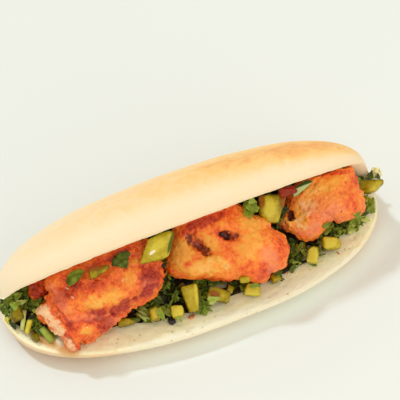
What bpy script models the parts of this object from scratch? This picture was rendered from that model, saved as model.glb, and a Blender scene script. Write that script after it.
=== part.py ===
"""Shish taouk sandwich: a long soft roll, slit along its front and held open by
three pieces of grilled chicken on a bed of chopped greens and pickle.

The origin is the middle of the sandwich on the table. +X runs along the roll,
-Y is its open side, +Y its hinge and +Z up. Lengths are metres.
"""

import math
import random

import bmesh
import bpy
from mathutils import Matrix, Vector, noise
from mathutils.bvhtree import BVHTree

MM = 0.001
GAP = 0.35 * MM                  # what touching pieces keep between them

# Roll: the lower half lies flat, the upper half stands open on its hinge.
ROLL_HALF_LENGTH = 100 * MM
ROLL_LOWER_REACH = 50.2 * MM     # from the middle line out to the front lip
ROLL_LOWER_LIP = 12.0 * MM       # height of the front lip
ROLL_LOWER_SHAPE = 2.49          # superellipse power of the lower outline
ROLL_UPPER_HALF_LENGTH = 96.4 * MM
ROLL_UPPER_SHIFT = -0.7 * MM
ROLL_UPPER_REACH = 20.5 * MM
ROLL_UPPER_SHAPE = 2.79
ROLL_UPPER_LOW = 20.1 * MM       # height of the upper lip at the tips
ROLL_UPPER_RISE = 38.5 * MM      # how much higher it is at mid length
ROLL_UPPER_TILT = 2.8 * MM       # the right end stands open wider than the left
HINGE_REACH = 18.0 * MM
HINGE_HEIGHT = 14.0 * MM
HINGE_TIP_RISE = 2.0 * MM
BACK_REACH = 31.5 * MM
BACK_HEIGHT = 22.0 * MM
BACK_TIP_DROP = 5.0 * MM
BASE_FRONT = 18.0 * MM
BASE_BACK = 9.0 * MM
UNDERSIDE_SHAPE = 4.0            # how late the underside lifts towards the tips
UNDERSIDE_FLAT = 1.03            # above 1, the middle of the underside is truly flat
DOME_HEIGHT = 20.0 * MM
DOME_TIP = 1.2 * MM
DOME_SHAPE = 2.3
CRUMB_DISH = 2.2 * MM
LIP_ROUND = 2.4 * MM
EDGE_ROUND = 1.6 * MM
UNDERSIDE_CURVE = (2.3, 2.1)     # superellipse powers of the front and back quarters
CROWN_HANDLE = 0.42              # curve handles, as shares: below and in front of the
CROWN_FRONT_HANDLE = 0.31        # crown, and above the upper lip
LIP_HANDLE = 0.62
FULL_ROUND = 0.5                 # share of full width below which the edges round less
ROLL_STATIONS = 28
TIP_STATION = 0.9985
SHARE_LIMIT = 0.995              # a share of the length that still lies inside the roll

# Salad bed on the lower half: a mound under the chicken and a thin apron in front.
BED_APRON = 0.77                 # share of the lower reach that the apron covers
BED_APRON_HEIGHT = 2.4 * MM
BED_APRON_WANDER = 0.05
BED_APRON_DRAW = 0.25            # how much less of the reach it covers at the tips
BED_BARE = (-0.5, 0.1, 0.06)     # where the crumb is bare: share, half width, depth
BED_APRON_SLOPE = 3.0 * MM       # how far back the apron reaches its full height
BED_FRONT = 0.56                 # share of the lower reach where the mound starts
BED_SLOPE = 8.0 * MM             # the same for the mound
BED_CURVE = 2.4
BED_HEIGHT = 9.0 * MM
BED_EDGE = 0.6 * MM              # least thickness, at its border
BED_DROP = 2.4 * MM              # how far the core lies under the level of the greens
BED_LIFT = 1.3 * GAP             # what the core keeps from the crumb
BED_BACK = 4.5 * MM              # what it keeps from the hinge
BED_CEILING = 1.5 * MM           # what it keeps from the upper crumb
BED_LUMP = 0.7 * MM
BED_LUMP_SIZE = 8.3 * MM
BED_STATIONS = 26
BED_TIP = 0.945
BED_SHIFT = -0.02                # the bed reaches nearer to the left tip than to the right
BED_STEPS = 9

# The mouth of the sandwich, seen head on: turned to the left, leaning back.
MOUTH_TURN = math.radians(-23.0)
MOUTH_LEAN = math.radians(35.0)
MOUTH_FRAME = (Matrix.Rotation(MOUTH_TURN, 3, "Z") @ Matrix.Rotation(MOUTH_LEAN, 3, "X"))
MOUTH_OUT = MOUTH_FRAME @ Vector((0.0, 0.0, 1.0))

# Chicken: how blunt its outline and its face are, and its crags.
MEAT_BLUNT = 0.8
MEAT_FACE = 0.85
MEAT_CRAG = 1.5 * MM
MEAT_CRAG_SIZE = 9.1 * MM
MEAT_FLOOR_ROUND = 0.2 * MM      # how much its underside still bulges where it is flattened

CUT_UNEVEN = 0.06                # how far a cut piece's corners wander, as a share of its side

# Loose leaves and chopped ones.
LEAF_WALL = 0.45 * MM
LEAF_RINGS = 3
LEAF_SPOKES = 18
LEAF_NOTCH = 0.22
LEAF_RIPPLE = 1.1 * MM
LEAF_RIPPLE_SIZE = 3.8 * MM
LEAF_LIFT = 0.85 * MM
LEAF_DROOP = 2.0 * MM            # how far a leaf hangs below the highest thing under it
SCRAP_OUTLINE = [(-0.5, 0.0), (-0.2, -0.5), (0.25, -0.42), (0.5, 0.05), (0.2, 0.5), (-0.25, 0.4)]
SCRAP_WALL = 0.8 * MM
SCRAP_BEND = 0.25
SCRAP_TILT = (0.9, 0.6)          # in radians

SEED = 2


def full(share, power):
    """Half width of a superellipse, 1 at the middle and 0 at the tips."""
    return max(0.0, 1.0 - abs(share) ** power) ** (1.0 / power)


def lerp(first, second, share):
    """The point or number that lies at a share of the way from first to second."""
    return first + (second - first) * share


# ---------------------------------------------------------------- scene basics

def clear_scene():
    """Remove every object, so the script can be run again."""
    for obj in list(bpy.data.objects):
        bpy.data.objects.remove(obj, do_unlink=True)


def new_collection(name):
    """A collection linked to the scene."""
    collection = bpy.data.collections.new(name)
    bpy.context.scene.collection.children.link(collection)
    return collection


def finish(name, colour, roughness):
    """A Principled material of one colour."""
    material = bpy.data.materials.new(name)
    material.use_nodes = True
    shader = material.node_tree.nodes["Principled BSDF"]
    shader.inputs["Base Color"].default_value = (*colour, 1.0)
    shader.inputs["Roughness"].default_value = roughness
    shader.inputs["Metallic"].default_value = 0.0
    material.diffuse_color = (*colour, 1.0)
    return material


def add_object(name, mesh_data, material, collection):
    """Turn a bmesh into a named, smooth-shaded object."""
    bmesh.ops.recalc_face_normals(mesh_data, faces=mesh_data.faces[:])
    mesh = bpy.data.meshes.new(name)
    mesh_data.to_mesh(mesh)
    mesh_data.free()
    if material is not None:
        mesh.materials.append(material)
    obj = bpy.data.objects.new(name, mesh)
    collection.objects.link(obj)
    mesh.shade_smooth()
    return obj


# ------------------------------------------------------------ shape of the roll

def roll_frame(share):
    """Key points of the roll's section (y, z) at a share of its half length."""
    low = full(share, ROLL_LOWER_SHAPE)
    high = full(share, ROLL_UPPER_SHAPE)
    lower = Vector((-ROLL_LOWER_REACH * low, ROLL_LOWER_LIP))
    hinge = Vector((HINGE_REACH * low, HINGE_HEIGHT + HINGE_TIP_RISE * (1.0 - low)))
    lip_height = ROLL_UPPER_LOW + ROLL_UPPER_RISE * high + ROLL_UPPER_TILT * share
    upper = Vector((-ROLL_UPPER_REACH * high, lip_height))
    along = (upper - hinge).normalized()
    outward = Vector((along.y, -along.x))
    return low, lower, hinge, upper, along, outward


def quarter(start, corner, end, power, steps):
    """A superellipse quarter from start to end, round a corner; the end is left out."""
    centre = start + end - corner
    points = []
    for step in range(steps):
        angle = 0.5 * math.pi * step / steps
        towards_start = math.cos(angle) ** (2.0 / power)
        towards_end = math.sin(angle) ** (2.0 / power)
        points.append(centre + (start - centre) * towards_start + (end - centre) * towards_end)
    return points


def bezier(start, first, second, end, steps):
    """A cubic curve with two handles; the end is left out."""
    points = []
    for step in range(steps):
        t = step / steps
        r = 1.0 - t
        points.append(start * r ** 3 + first * 3 * r * r * t + second * 3 * r * t * t + end * t ** 3)
    return points


def lower_crumb(share, across):
    """Point (y, z) of the lower crumb face; across is 0 at the hinge, 1 at the lip."""
    low, lower, hinge, _, _, _ = roll_frame(share)
    inner_lip = Vector((lower.x + LIP_ROUND * min(1.0, low / FULL_ROUND), lower.y))
    point = lerp(hinge, inner_lip, across)
    point.y -= CRUMB_DISH * low * math.sin(math.pi * across)
    return point


def roll_section(share):
    """The closed outline of the roll at one station, as points (x, y, z)."""
    low, lower, hinge, upper, along, outward = roll_frame(share)
    size = min(1.0, low / FULL_ROUND)
    lip_round, edge_round = LIP_ROUND * size, EDGE_ROUND * size
    lift = max(0.0, 1.0 - UNDERSIDE_FLAT * full(share, UNDERSIDE_SHAPE))
    base = (ROLL_LOWER_LIP - LIP_ROUND) * lift
    base_front = Vector((-BASE_FRONT * low, base))
    base_back = Vector((BASE_BACK * low, base))
    back = Vector((BACK_REACH * low, BACK_HEIGHT - BACK_TIP_DROP * (1.0 - low)))
    lip_under = Vector((lower.x, lower.y - lip_round))
    dome = DOME_TIP + DOME_HEIGHT * full(share, DOME_SHAPE)
    chord = (upper - hinge).length
    crown = lerp(hinge, upper, 0.5) + outward * dome
    reach = CROWN_HANDLE * (crown - back).length
    crust_edge = upper + outward * edge_round
    crumb_edge = upper - along * edge_round
    hinge_in = hinge + along * edge_round
    lower_start = lower_crumb(share, 0.05)
    inner_lip = lower_crumb(share, 1.0)

    outer = quarter(lip_under, Vector((lower.x, base)), base_front, UNDERSIDE_CURVE[0], 7)
    outer += [base_front, lerp(base_front, base_back, 0.5)]
    outer += quarter(base_back, Vector((back.x, base)), back, UNDERSIDE_CURVE[1], 5)
    outer += bezier(back, back + Vector((0.0, reach)), crown - along * reach, crown, 5)
    outer += bezier(crown, crown + along * chord * CROWN_FRONT_HANDLE,
                    upper + outward * dome * LIP_HANDLE, crust_edge, 9)
    outer += quarter(crust_edge, upper, crumb_edge, 2.0, 2)
    inner = [lerp(crumb_edge, hinge_in, step / 6) for step in range(6)]
    inner += quarter(hinge_in, hinge, lower_start, 2.0, 2)
    inner += [lower_crumb(share, lerp(0.05, 1.0, step / 8)) for step in range(8)]
    inner += quarter(inner_lip, lower, lip_under, 2.0, 3)

    points = []
    for point in outer + inner:
        height = min(1.0, max(0.0, (point.y - ROLL_LOWER_LIP) / (upper.y - ROLL_LOWER_LIP)))
        x_low = ROLL_HALF_LENGTH * share
        x_high = ROLL_UPPER_SHIFT + ROLL_UPPER_HALF_LENGTH * share
        points.append(Vector((lerp(x_low, x_high, height), point.x, point.y)))
    return points


def loft(sections):
    """A closed body through sections with the same number of points."""
    mesh = bmesh.new()
    rings = [[mesh.verts.new(point) for point in section] for section in sections]
    count = len(rings[0])
    for near, far in zip(rings, rings[1:]):
        for index in range(count):
            following = (index + 1) % count
            mesh.faces.new((near[index], near[following], far[following], far[index]))
    mesh.faces.new(rings[0])
    mesh.faces.new(list(reversed(rings[-1])))
    bmesh.ops.triangulate(mesh, faces=mesh.faces[:])
    return mesh


def stations(count, tip):
    """Shares of the half length, closer together towards both tips."""
    return [tip * math.sin(0.5 * math.pi * (2.0 * step / count - 1.0)) for step in range(count + 1)]


# ------------------------------------------------- room that the filling lies in

def crumb_height(x, y):
    """Height of the lower crumb face under a point."""
    share = max(-SHARE_LIMIT, min(SHARE_LIMIT, x / ROLL_HALF_LENGTH))
    hinge_y, lip_y = lower_crumb(share, 0.0).x, lower_crumb(share, 1.0).x
    across = max(0.0, min(1.0, (hinge_y - y) / (hinge_y - lip_y)))
    return lower_crumb(share, across).y


def under_ceiling(point, margin):
    """The point, moved squarely off the upper crumb face where it is too close."""
    share = (point.x - ROLL_UPPER_SHIFT) / ROLL_UPPER_HALF_LENGTH
    share = max(-SHARE_LIMIT, min(SHARE_LIMIT, share))
    _, _, hinge, _, _, outward = roll_frame(share)
    depth = (Vector((point.y, point.z)) - hinge).dot(outward) + margin
    if depth <= 0.0:
        return point
    return Vector((point.x, point.y - outward.x * depth, point.z - outward.y * depth))


def press_under_ceiling(mesh, margin):
    """Move a whole piece squarely off the upper crumb face."""
    shift = Vector((0.0, 0.0, 0.0))
    for vertex in mesh.verts:
        move = under_ceiling(vertex.co, margin) - vertex.co
        if move.length > shift.length:
            shift = move
    for vertex in mesh.verts:
        vertex.co += shift


def bed_front(share):
    """Where the apron of the salad bed starts, on the side of the mouth."""
    wander = BED_APRON_WANDER * noise.noise(Vector((share * 9.0, 0.4, 0.0)))
    bare_at, bare_width, bare_depth = BED_BARE
    bare = bare_depth * math.exp(-((share - bare_at) / bare_width) ** 2)
    cover = BED_APRON * (1.0 - BED_APRON_DRAW * share ** 4) + wander - bare
    return -cover * ROLL_LOWER_REACH * full(share, ROLL_LOWER_SHAPE)


def bed_height(x, y):
    """Top of the salad bed over a point, or the crumb where there is no bed."""
    share = max(-SHARE_LIMIT, min(SHARE_LIMIT, x / ROLL_HALF_LENGTH))
    low = full(share, ROLL_LOWER_SHAPE)
    apron = (y - bed_front(share)) / BED_APRON_SLOPE
    mound = (y + BED_FRONT * ROLL_LOWER_REACH * low) / BED_SLOPE
    rise = BED_APRON_HEIGHT * full(1.0 - min(1.0, max(0.0, apron)), 2.0)
    rise += (BED_HEIGHT - BED_APRON_HEIGHT) * full(1.0 - min(1.0, max(0.0, mound)), BED_CURVE)
    return crumb_height(x, y) + rise * min(1.0, 1.4 * low)


def bed_section(share):
    """The closed outline of the salad bed's core at one station."""
    low, _, hinge, _, _, _ = roll_frame(share)
    x = ROLL_HALF_LENGTH * share
    front = bed_front(share)
    back = hinge.x - BED_BACK * min(1.0, low / FULL_ROUND)
    top, bottom = [], []
    for step in range(BED_STEPS + 1):
        y = lerp(front, back, (step / BED_STEPS) ** 1.2)
        floor = crumb_height(x, y) + BED_LIFT
        lump = BED_LUMP * noise.noise(Vector((x, y, 0.0)) / BED_LUMP_SIZE)
        roof = under_ceiling(Vector((x, y, bed_height(x, y) + lump - BED_DROP)), BED_CEILING)
        top.append(Vector((x, roof.y, max(roof.z, floor + BED_EDGE))))
        bottom.append(Vector((x, y, floor)))
    return bottom + list(reversed(top))


# --------------------------------------------------------------- filling pieces

def polar_radius(outline, angle):
    """Distance from the centre to a star-shaped outline of (x, y) points in mm."""
    polar = sorted((math.atan2(y, x), math.hypot(x, y)) for x, y in outline)
    polar = [(polar[-1][0] - math.tau, polar[-1][1])] + polar + [(polar[0][0] + math.tau, polar[0][1])]
    for (first, near), (second, far) in zip(polar, polar[1:]):
        if first <= angle <= second:
            share = (angle - first) / max(1e-6, second - first)
            return MM * lerp(near, far, share * share * (3.0 - 2.0 * share))
    return MM * polar[0][1]


def chicken(place, outline, front, back, marks, seed, fineness=4):
    """A torn, grilled lump: an outline seen head on, bulging out and back.

    place is the centre, front and back how far it swells towards the mouth and
    away from it, and marks are (x, y, radius, height) swellings and pits in mm.
    """
    mesh = bmesh.new()
    bmesh.ops.create_icosphere(mesh, subdivisions=fineness, radius=1.0)
    drift = Vector((seed * 3.7, seed * 1.3, seed * 2.1))
    for vertex in mesh.verts:
        way = vertex.co.copy()
        flat = math.hypot(way.x, way.y)
        angle = math.atan2(way.y, way.x)
        reach = polar_radius(outline, angle) * flat ** MEAT_BLUNT
        swell = (front if way.z > 0.0 else back) * math.copysign(abs(way.z) ** MEAT_FACE, way.z)
        local = Vector((reach * math.cos(angle), reach * math.sin(angle), swell))
        local += way * MEAT_CRAG * noise.fractal(local / MEAT_CRAG_SIZE + drift, 0.8, 2.1, 3)
        if way.z > 0.0:
            for mark_x, mark_y, radius, height in marks:
                gone = math.hypot(local.x / MM - mark_x, local.y / MM - mark_y) / radius
                local.z += height * MM * math.exp(-gone * gone)
        point = place + MOUTH_FRAME @ local
        point = under_ceiling(point, 2.0 * GAP)
        ground = max(bed_height(point.x, point.y) + GAP,
                     crumb_height(point.x, point.y) + BED_EDGE + 3.0 * GAP)
        point.z = max(point.z, ground + MEAT_FLOOR_ROUND * abs(way.z))
        vertex.co = point
    return mesh


def chunk(place, size, turn, frame, form=(0.0, 0.0, 0.0), bevel=0.9, seed=0):
    """A cut piece of pickle or tomato: a bevelled, uneven block.

    size is in mm along the frame's axes, before the turn in degrees about each;
    form narrows the block along its second axis and along its first, and slants it.
    """
    rng = random.Random(SEED + seed)
    mesh = bmesh.new()
    bmesh.ops.create_cube(mesh, size=1.0)
    for vertex in mesh.verts:
        across, up, out = vertex.co
        across *= 1.0 - form[0] * (up + 0.5)
        up = up * (1.0 - form[1] * (across + 0.5)) + form[2] * across
        uneven = Vector([rng.uniform(-CUT_UNEVEN, CUT_UNEVEN) for _ in range(3)])
        vertex.co = Vector((across, up, out)) + uneven
        vertex.co = Vector([co * side * MM for co, side in zip(vertex.co, size)])
    bmesh.ops.bevel(mesh, geom=mesh.edges[:], offset=bevel * MM, segments=1, profile=0.7,
                    affect="EDGES", clamp_overlap=True)
    bmesh.ops.triangulate(mesh, faces=mesh.faces[:])
    turned = frame @ Matrix.Rotation(math.radians(turn[2]), 3, "Z")
    turned = turned @ Matrix.Rotation(math.radians(turn[1]), 3, "Y")
    turned = turned @ Matrix.Rotation(math.radians(turn[0]), 3, "X")
    for vertex in mesh.verts:
        vertex.co = place + turned @ vertex.co
    return mesh


def from_mouth(across, up, out):
    """A place given in mm in the mouth frame."""
    return MOUTH_FRAME @ (Vector((across, up, out)) * MM)


def surface(meshes):
    """One search tree over several bodies."""
    vertices, faces = [], []
    for mesh in meshes:
        mesh.verts.index_update()
        start = len(vertices)
        vertices += [vertex.co.copy() for vertex in mesh.verts]
        faces += [[start + vertex.index for vertex in face.verts] for face in mesh.faces]
    return BVHTree.FromPolygons(vertices, faces), vertices


def settle(mesh, others, way, limit=60 * MM):
    """Move a piece along a direction until it lies against the others."""
    tree, far_points = surface(others)
    own_tree, own_points = surface([mesh])
    travel = limit
    for point in own_points:
        hit = tree.ray_cast(point, way, limit)
        if hit[0] is not None:
            travel = min(travel, hit[3])
    for point in far_points:
        hit = own_tree.ray_cast(point, -way, limit)
        if hit[0] is not None:
            travel = min(travel, hit[3])
    if travel < limit:
        for vertex in mesh.verts:
            vertex.co += way * (travel - 2.0 * GAP)
    return mesh


def slide_clear(mesh, others, way, step=0.4 * MM, tries=40):
    """Slide a piece along a direction until it crosses none of the others."""
    tree, _ = surface(others)
    for _ in range(tries):
        own_tree, _ = surface([mesh])
        if not own_tree.overlap(tree):
            break
        for vertex in mesh.verts:
            vertex.co += way * step
    for vertex in mesh.verts:
        vertex.co += way * GAP


def leaf(place, length, width, turn, lobes, others, seed):
    """A wavy parsley leaf laid on what is under it."""
    drift = Vector((seed, 2.0 * seed, 0.5 * seed))
    mesh = bmesh.new()
    middle = mesh.verts.new((0.0, 0.0, 0.0))
    circles = []
    for ring in range(1, LEAF_RINGS + 1):
        circle = []
        for spoke in range(LEAF_SPOKES):
            angle = math.tau * spoke / LEAF_SPOKES
            notch = LEAF_NOTCH * (ring / LEAF_RINGS) * (0.5 - 0.5 * math.cos(lobes * angle))
            reach = (1.0 - notch) * ring / LEAF_RINGS
            circle.append(mesh.verts.new((0.5 * length * MM * reach * math.cos(angle),
                                          0.5 * width * MM * reach * math.sin(angle), 0.0)))
        circles.append(circle)
    for spoke in range(LEAF_SPOKES):
        following = (spoke + 1) % LEAF_SPOKES
        mesh.faces.new((middle, circles[0][spoke], circles[0][following]))
        for inner, outer in zip(circles, circles[1:]):
            mesh.faces.new((inner[spoke], outer[spoke], outer[following]))
            mesh.faces.new((inner[spoke], outer[following], inner[following]))
    tree, _ = surface(others)
    turned = MOUTH_FRAME @ Matrix.Rotation(math.radians(turn), 3, "Z")
    drops = {}
    for vertex in mesh.verts:
        start = place + turned @ vertex.co
        hit = tree.ray_cast(start, -MOUTH_OUT, 80 * MM)
        drops[vertex] = hit[3] if hit[0] is not None else None
    known = sorted(drop for drop in drops.values() if drop is not None)
    usual_drop = known[len(known) // 4]
    for vertex in mesh.verts:
        ripple = 0.5 + 0.5 * noise.noise(vertex.co / LEAF_RIPPLE_SIZE + drift)
        drop = drops[vertex]
        drop = usual_drop if drop is None else min(drop, usual_drop + LEAF_DROOP)
        lift = LEAF_WALL + LEAF_LIFT + LEAF_RIPPLE * ripple
        vertex.co = place + turned @ vertex.co - MOUTH_OUT * (drop - lift)
        vertex.co = under_ceiling(vertex.co, LEAF_WALL + GAP)
    return mesh


def tube(points, radius, sides):
    """A closed tube along points, as a chopped stem has."""
    mesh = bmesh.new()
    rings = []
    for index, point in enumerate(points):
        ahead = points[min(index + 1, len(points) - 1)]
        behind = points[max(index - 1, 0)]
        way = (ahead - behind).normalized()
        side = way.orthogonal().normalized()
        other = way.cross(side)
        rings.append([mesh.verts.new(point + radius * (side * math.cos(math.tau * k / sides)
                                                      + other * math.sin(math.tau * k / sides)))
                      for k in range(sides)])
    for near, far in zip(rings, rings[1:]):
        for k in range(sides):
            following = (k + 1) % sides
            mesh.faces.new((near[k], near[following], far[following], far[k]))
    mesh.faces.new(rings[0])
    mesh.faces.new(list(reversed(rings[-1])))
    bmesh.ops.triangulate(mesh, faces=mesh.faces[:])
    return mesh


def scrap(place, length, width, rng):
    """A chopped bit of leaf: a thin bent blade that stands or lies at any angle."""
    mesh = bmesh.new()
    bend = rng.uniform(-SCRAP_BEND, SCRAP_BEND) * length
    turned = Matrix.Rotation(rng.uniform(0.0, math.tau), 3, "Z")
    for axis, tilt in zip("XY", SCRAP_TILT):
        turned = turned @ Matrix.Rotation(rng.uniform(-tilt, tilt), 3, axis)
    sides = []
    for height in (0.5 * SCRAP_WALL, -0.5 * SCRAP_WALL):
        ring = [mesh.verts.new(Vector((x * length, y * width, height + bend * (4.0 * x * x - 0.5))))
                for x, y in SCRAP_OUTLINE]
        centre = mesh.verts.new(Vector((0.0, 0.0, height - 0.5 * bend)))
        sides.append((centre, ring))
    (top, upper), (bottom, lower) = sides
    for k in range(len(SCRAP_OUTLINE)):
        following = (k + 1) % len(SCRAP_OUTLINE)
        mesh.faces.new((top, upper[k], upper[following]))
        mesh.faces.new((bottom, lower[following], lower[k]))
        mesh.faces.new((upper[k], lower[k], lower[following], upper[following]))
    bmesh.ops.triangulate(mesh, faces=mesh.faces[:])
    for vertex in mesh.verts:
        vertex.co = place + turned @ vertex.co
    return mesh


# ------------------------------------------------------------ the sandwich itself

def make_bread():
    """The whole roll, both halves and the hinge between them."""
    return loft([roll_section(share) for share in stations(ROLL_STATIONS, TIP_STATION)])


def make_bed():
    """The bare core of the salad bed, before the showing bits are fused on."""
    return loft([bed_section(share + BED_SHIFT) for share in stations(BED_STATIONS, BED_TIP)])


LEFT_OUTLINE = [(-25, 9), (-24, 1), (-29, -3), (-29.5, -9), (-24, -13), (-18, -18), (-15, -23),
                (-11, -27), (-9, -23), (-6.5, -21), (-4, -23), (-2.5, -19.5), (3, -16.5),
                (7.5, -12.5), (10, -8.5), (15.5, -5), (23, -2), (28, 3), (30.5, 7), (30, 13), (23, 29),
                (10, 27), (-4, 22), (-18, 17)]
MIDDLE_OUTLINE = [(-31.5, -12), (-28, -14), (-22, -15.5), (-11, -16.5), (-3, -17), (5.5, -15.5),
                  (10, -17.5), (14.5, -19), (18.5, -17.5), (20.5, -13.5), (27.5, -11.5), (30, -2.5),
                  (26.5, 4.5), (22.5, 7), (16.5, 11), (10.5, 15), (6, 19), (-1, 23), (-14, 20),
                  (-25, 14), (-27.5, 0)]
RIGHT_OUTLINE = [(-19, 1.5), (-14, 6), (-7, 14), (0.5, 19), (8, 20), (13.5, 17), (17.5, 7), (20.5, -2),
                 (20, -6.5), (13.5, -8.5), (8.5, -10.5), (4.5, -9), (0.5, -12.5), (-3.5, -16.5),
                 (-6.5, -19), (-13, -18), (-18, -14.5), (-23, -12), (-23, -8), (-18.5, -3)]
LUMP_OUTLINE = [(-4, -2), (-3, -5), (2, -4.5), (4.3, 0), (3.6, 6), (0, 7), (-3.4, 4)]


def make_chickens():
    """The three grilled pieces and the torn bit beside the left one."""
    left = chicken(from_mouth(-42.6, -18.9, 46.0), LEFT_OUTLINE, 8 * MM, 12 * MM,
                   [(-5, -9, 5, -2), (8, -7, 5, -2), (20, -1, 6, -1.5), (-2, 0, 11, 3), (18, 9, 8, 2)], 1)
    middle = chicken(from_mouth(19.2, 5.3, 33.0), MIDDLE_OUTLINE, 9 * MM, 12 * MM,
                     [(-14.5, 0, 5, -2.5), (0, 4.5, 4, -3), (-18, -8, 8, 2), (14, -2, 12, 2)], 2)
    right = chicken(from_mouth(66.6, 26.5, 18.0), RIGHT_OUTLINE, 9 * MM, 10 * MM,
                    [(-17, -5, 3.5, -4), (-20, -10, 3, 2), (4, 0, 12, 3)], 3)
    lump = chicken(from_mouth(-71.3, -13.6, 39.5), LUMP_OUTLINE, 4 * MM, 5 * MM, [], 4, fineness=3)
    return {"chicken_left": left, "chicken_middle": middle, "chicken_right": right,
            "chicken_scrap": lump}


# Pickle, tomato and pepper pieces that lie against the chicken, under the upper
# lip: name, (across, up, out) in the mouth in mm, size in mm, turn, form.
TOP_PIECES = [
    ("pickle_wedge", (-15.2, 5.6, 75.0), (12.0, 14.0, 4.5), (0, 0, -17), (0.0, 0.1, 0.5)),
    ("pickle_slice", (-41.4, -6.2, 75.0), (12.0, 6.5, 3.0), (0, 0, 22), (0.3, 0.75, 0.0)),
    ("pickle_chunk", (39.8, 23.4, 60.0), (14.0, 14.5, 8.5), (0, 0, 176), (0.5, 0.1, 0.0)),
    ("tomato_piece", (47.0, 32.5, 34.0), (10.0, 5.0, 4.5), (0, 0, 20), (0.2, 0.2, 0.0)),
    ("pepper_strip", (54.5, 34.0, 28.0), (12.5, 4.2, 2.6), (0, 0, 38), (0.2, 0.3, 0.0)),
]

# Pickle pieces on the bed: name, (x, y) in mm, size, turn, form.
BED_PIECES = [
    ("pickle_spear", (-13.6, -35.0), (7.0, 13.0, 5.0), (28, 0, 16), (-0.3, 0.0, 0.0)),
    ("pickle_dice_a", (-0.5, -37.5), (12.0, 7.5, 7.0), (25, 12, -12), (0.1, 0.2, 0.0)),
    ("pickle_dice_b", (-22.6, -38.4), (7.0, 6.5, 7.0), (20, -10, 10), (0.15, 0.1, 0.0)),
    ("pickle_dice_c", (-33.0, -35.0), (5.5, 7.5, 6.5), (15, 0, 20), (0.2, 0.0, 0.0)),
    ("pickle_dice_d", (-45.5, -32.6), (11.5, 5.0, 4.0), (25, 0, 12), (0.1, 0.6, 0.0)),
    ("pickle_dice_e", (16.0, -38.6), (9.0, 6.5, 5.5), (20, 8, -6), (0.25, 0.1, 0.0)),
    ("pickle_dice_f", (29.6, -38.0), (6.0, 5.0, 5.0), (10, 0, 25), (0.1, 0.1, 0.0)),
    ("pickle_dice_g", (51.4, -34.4), (6.0, 8.5, 6.5), (25, -8, -15), (0.25, 0.0, 0.0)),
    ("pickle_dice_h", (62.4, -31.0), (10.0, 7.0, 6.5), (22, 6, 8), (0.1, 0.2, 0.0)),
    ("pickle_left_a", (-93.3, -9.5), (6.5, 8.5, 5.0), (20, 0, 15), (0.2, 0.1, 0.0)),
    ("pickle_left_b", (-90.0, -16.8), (3.0, 7.5, 3.0), (20, 0, -15), (0.1, 0.0, 0.0)),
    ("pickle_end", (93.0, -11.8), (15.0, 9.0, 5.5), (20, -5, 3), (0.0, 0.65, 0.32)),
]

# Loose parsley leaves: name, (across, up) in mm, length, width, turn, lobes.
LEAVES = [
    ("parsley_leaf_a", (-53.3, -8.9), 11.5, 6.0, 40, 3),
    ("parsley_leaf_b", (-31.5, -1.4), 10.5, 8.5, 35, 4),
    ("parsley_leaf_c", (29.7, 22.6), 9.5, 8.5, 60, 5),
    ("parsley_leaf_d", (91.5, 24.0), 8.5, 6.0, 75, 3),
]

FLAT_FRAME = Matrix.Rotation(MOUTH_TURN, 3, "Z")
DOWN = Vector((0.0, 0.0, -1.0))
FORWARD = Vector((0.0, -1.0, 0.0))
START_OUT = 75.0                 # how far out of the mouth a leaf starts, in mm
START_CLEARANCE = 6.0 * MM       # how far above the bed a piece starts
BED_PIECE_SEED = 20              # seeds from here on shape the pieces on the bed,
CHAR_BIT_SEED = 60               # and from here on the charred bits

# Heaps of chopped greens that fill the mouth beside the chicken, fused to the bed:
# centre and half sizes in mm.
CLUMPS = [
    ((-25.0, -13.0, 21.0), (9.0, 15.0, 13.0)),
    ((41.5, -6.0, 25.0), (8.0, 13.0, 14.0)),
    ((-90.0, 1.0, 16.5), (5.0, 6.0, 5.0)),
    ((86.0, -2.0, 17.0), (5.0, 8.0, 6.0)),
]
CLUMP_CLEARANCE = 2.0 * MM
CLUMP_FINENESS = 3
CLUMP_UNEVEN = 0.22
CLUMP_LUMPS = 2.3
CLUMP_SHRINK = 0.96              # each try, where a heap still crosses the chicken

# Chopped greens on the bed: how many show, and how large they are in mm.
SCRAPS = 60
SCRAP_LENGTH = (4.5, 8.5)
SCRAP_WIDTH = (2.4, 4.8)
STEMS = 14
STEM_LENGTH = (6.0, 10.0)
STEM_RADIUS = (0.6, 1.0)
STEM_EVERY = 5                   # one bit in so many is a stem
CHAR_BITS = [(-26.5, -40.0), (47.0, -33.5), (-84.0, -25.0)]
CHAR_SIZE = (3.2, 3.8, 3.5)
TRIES = 1500
FLAT_ANGLE = math.radians(4.0)   # faces of the fused greens that bend less are joined
SIDES = [MOUTH_OUT, Vector((0.0, -0.95, 0.3)), Vector((-0.9, -0.3, 0.3)), Vector((0.9, -0.3, 0.3))]


def make_clumps(chickens):
    """Heaps of greens beside the chicken, stopped short of it and of the roll."""
    tree, _ = surface(chickens)
    clumps = []
    for number, (centre, half_sizes) in enumerate(CLUMPS):
        centre = Vector(centre) * MM
        mesh = bmesh.new()
        bmesh.ops.create_icosphere(mesh, subdivisions=CLUMP_FINENESS, radius=1.0)
        for vertex in mesh.verts:
            way = Vector([co * half * MM for co, half in zip(vertex.co, half_sizes)])
            drift = Vector((number, 0.0, 0.0))
            way *= 1.0 + CLUMP_UNEVEN * noise.noise(vertex.co * CLUMP_LUMPS + drift)
            reach = way.length
            hit = tree.ray_cast(centre, way, reach + CLUMP_CLEARANCE)
            if hit[0] is not None:
                way = way.normalized() * max(GAP, hit[3] - CLUMP_CLEARANCE)
            point = under_ceiling(centre + way, 4.0 * GAP)
            point.z = max(point.z, crumb_height(point.x, point.y) + 2.0 * GAP)
            vertex.co = point
        while surface([mesh])[0].overlap(tree):
            for vertex in mesh.verts:
                vertex.co = lerp(centre, vertex.co, CLUMP_SHRINK)
        clumps.append(mesh)
    return clumps


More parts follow.
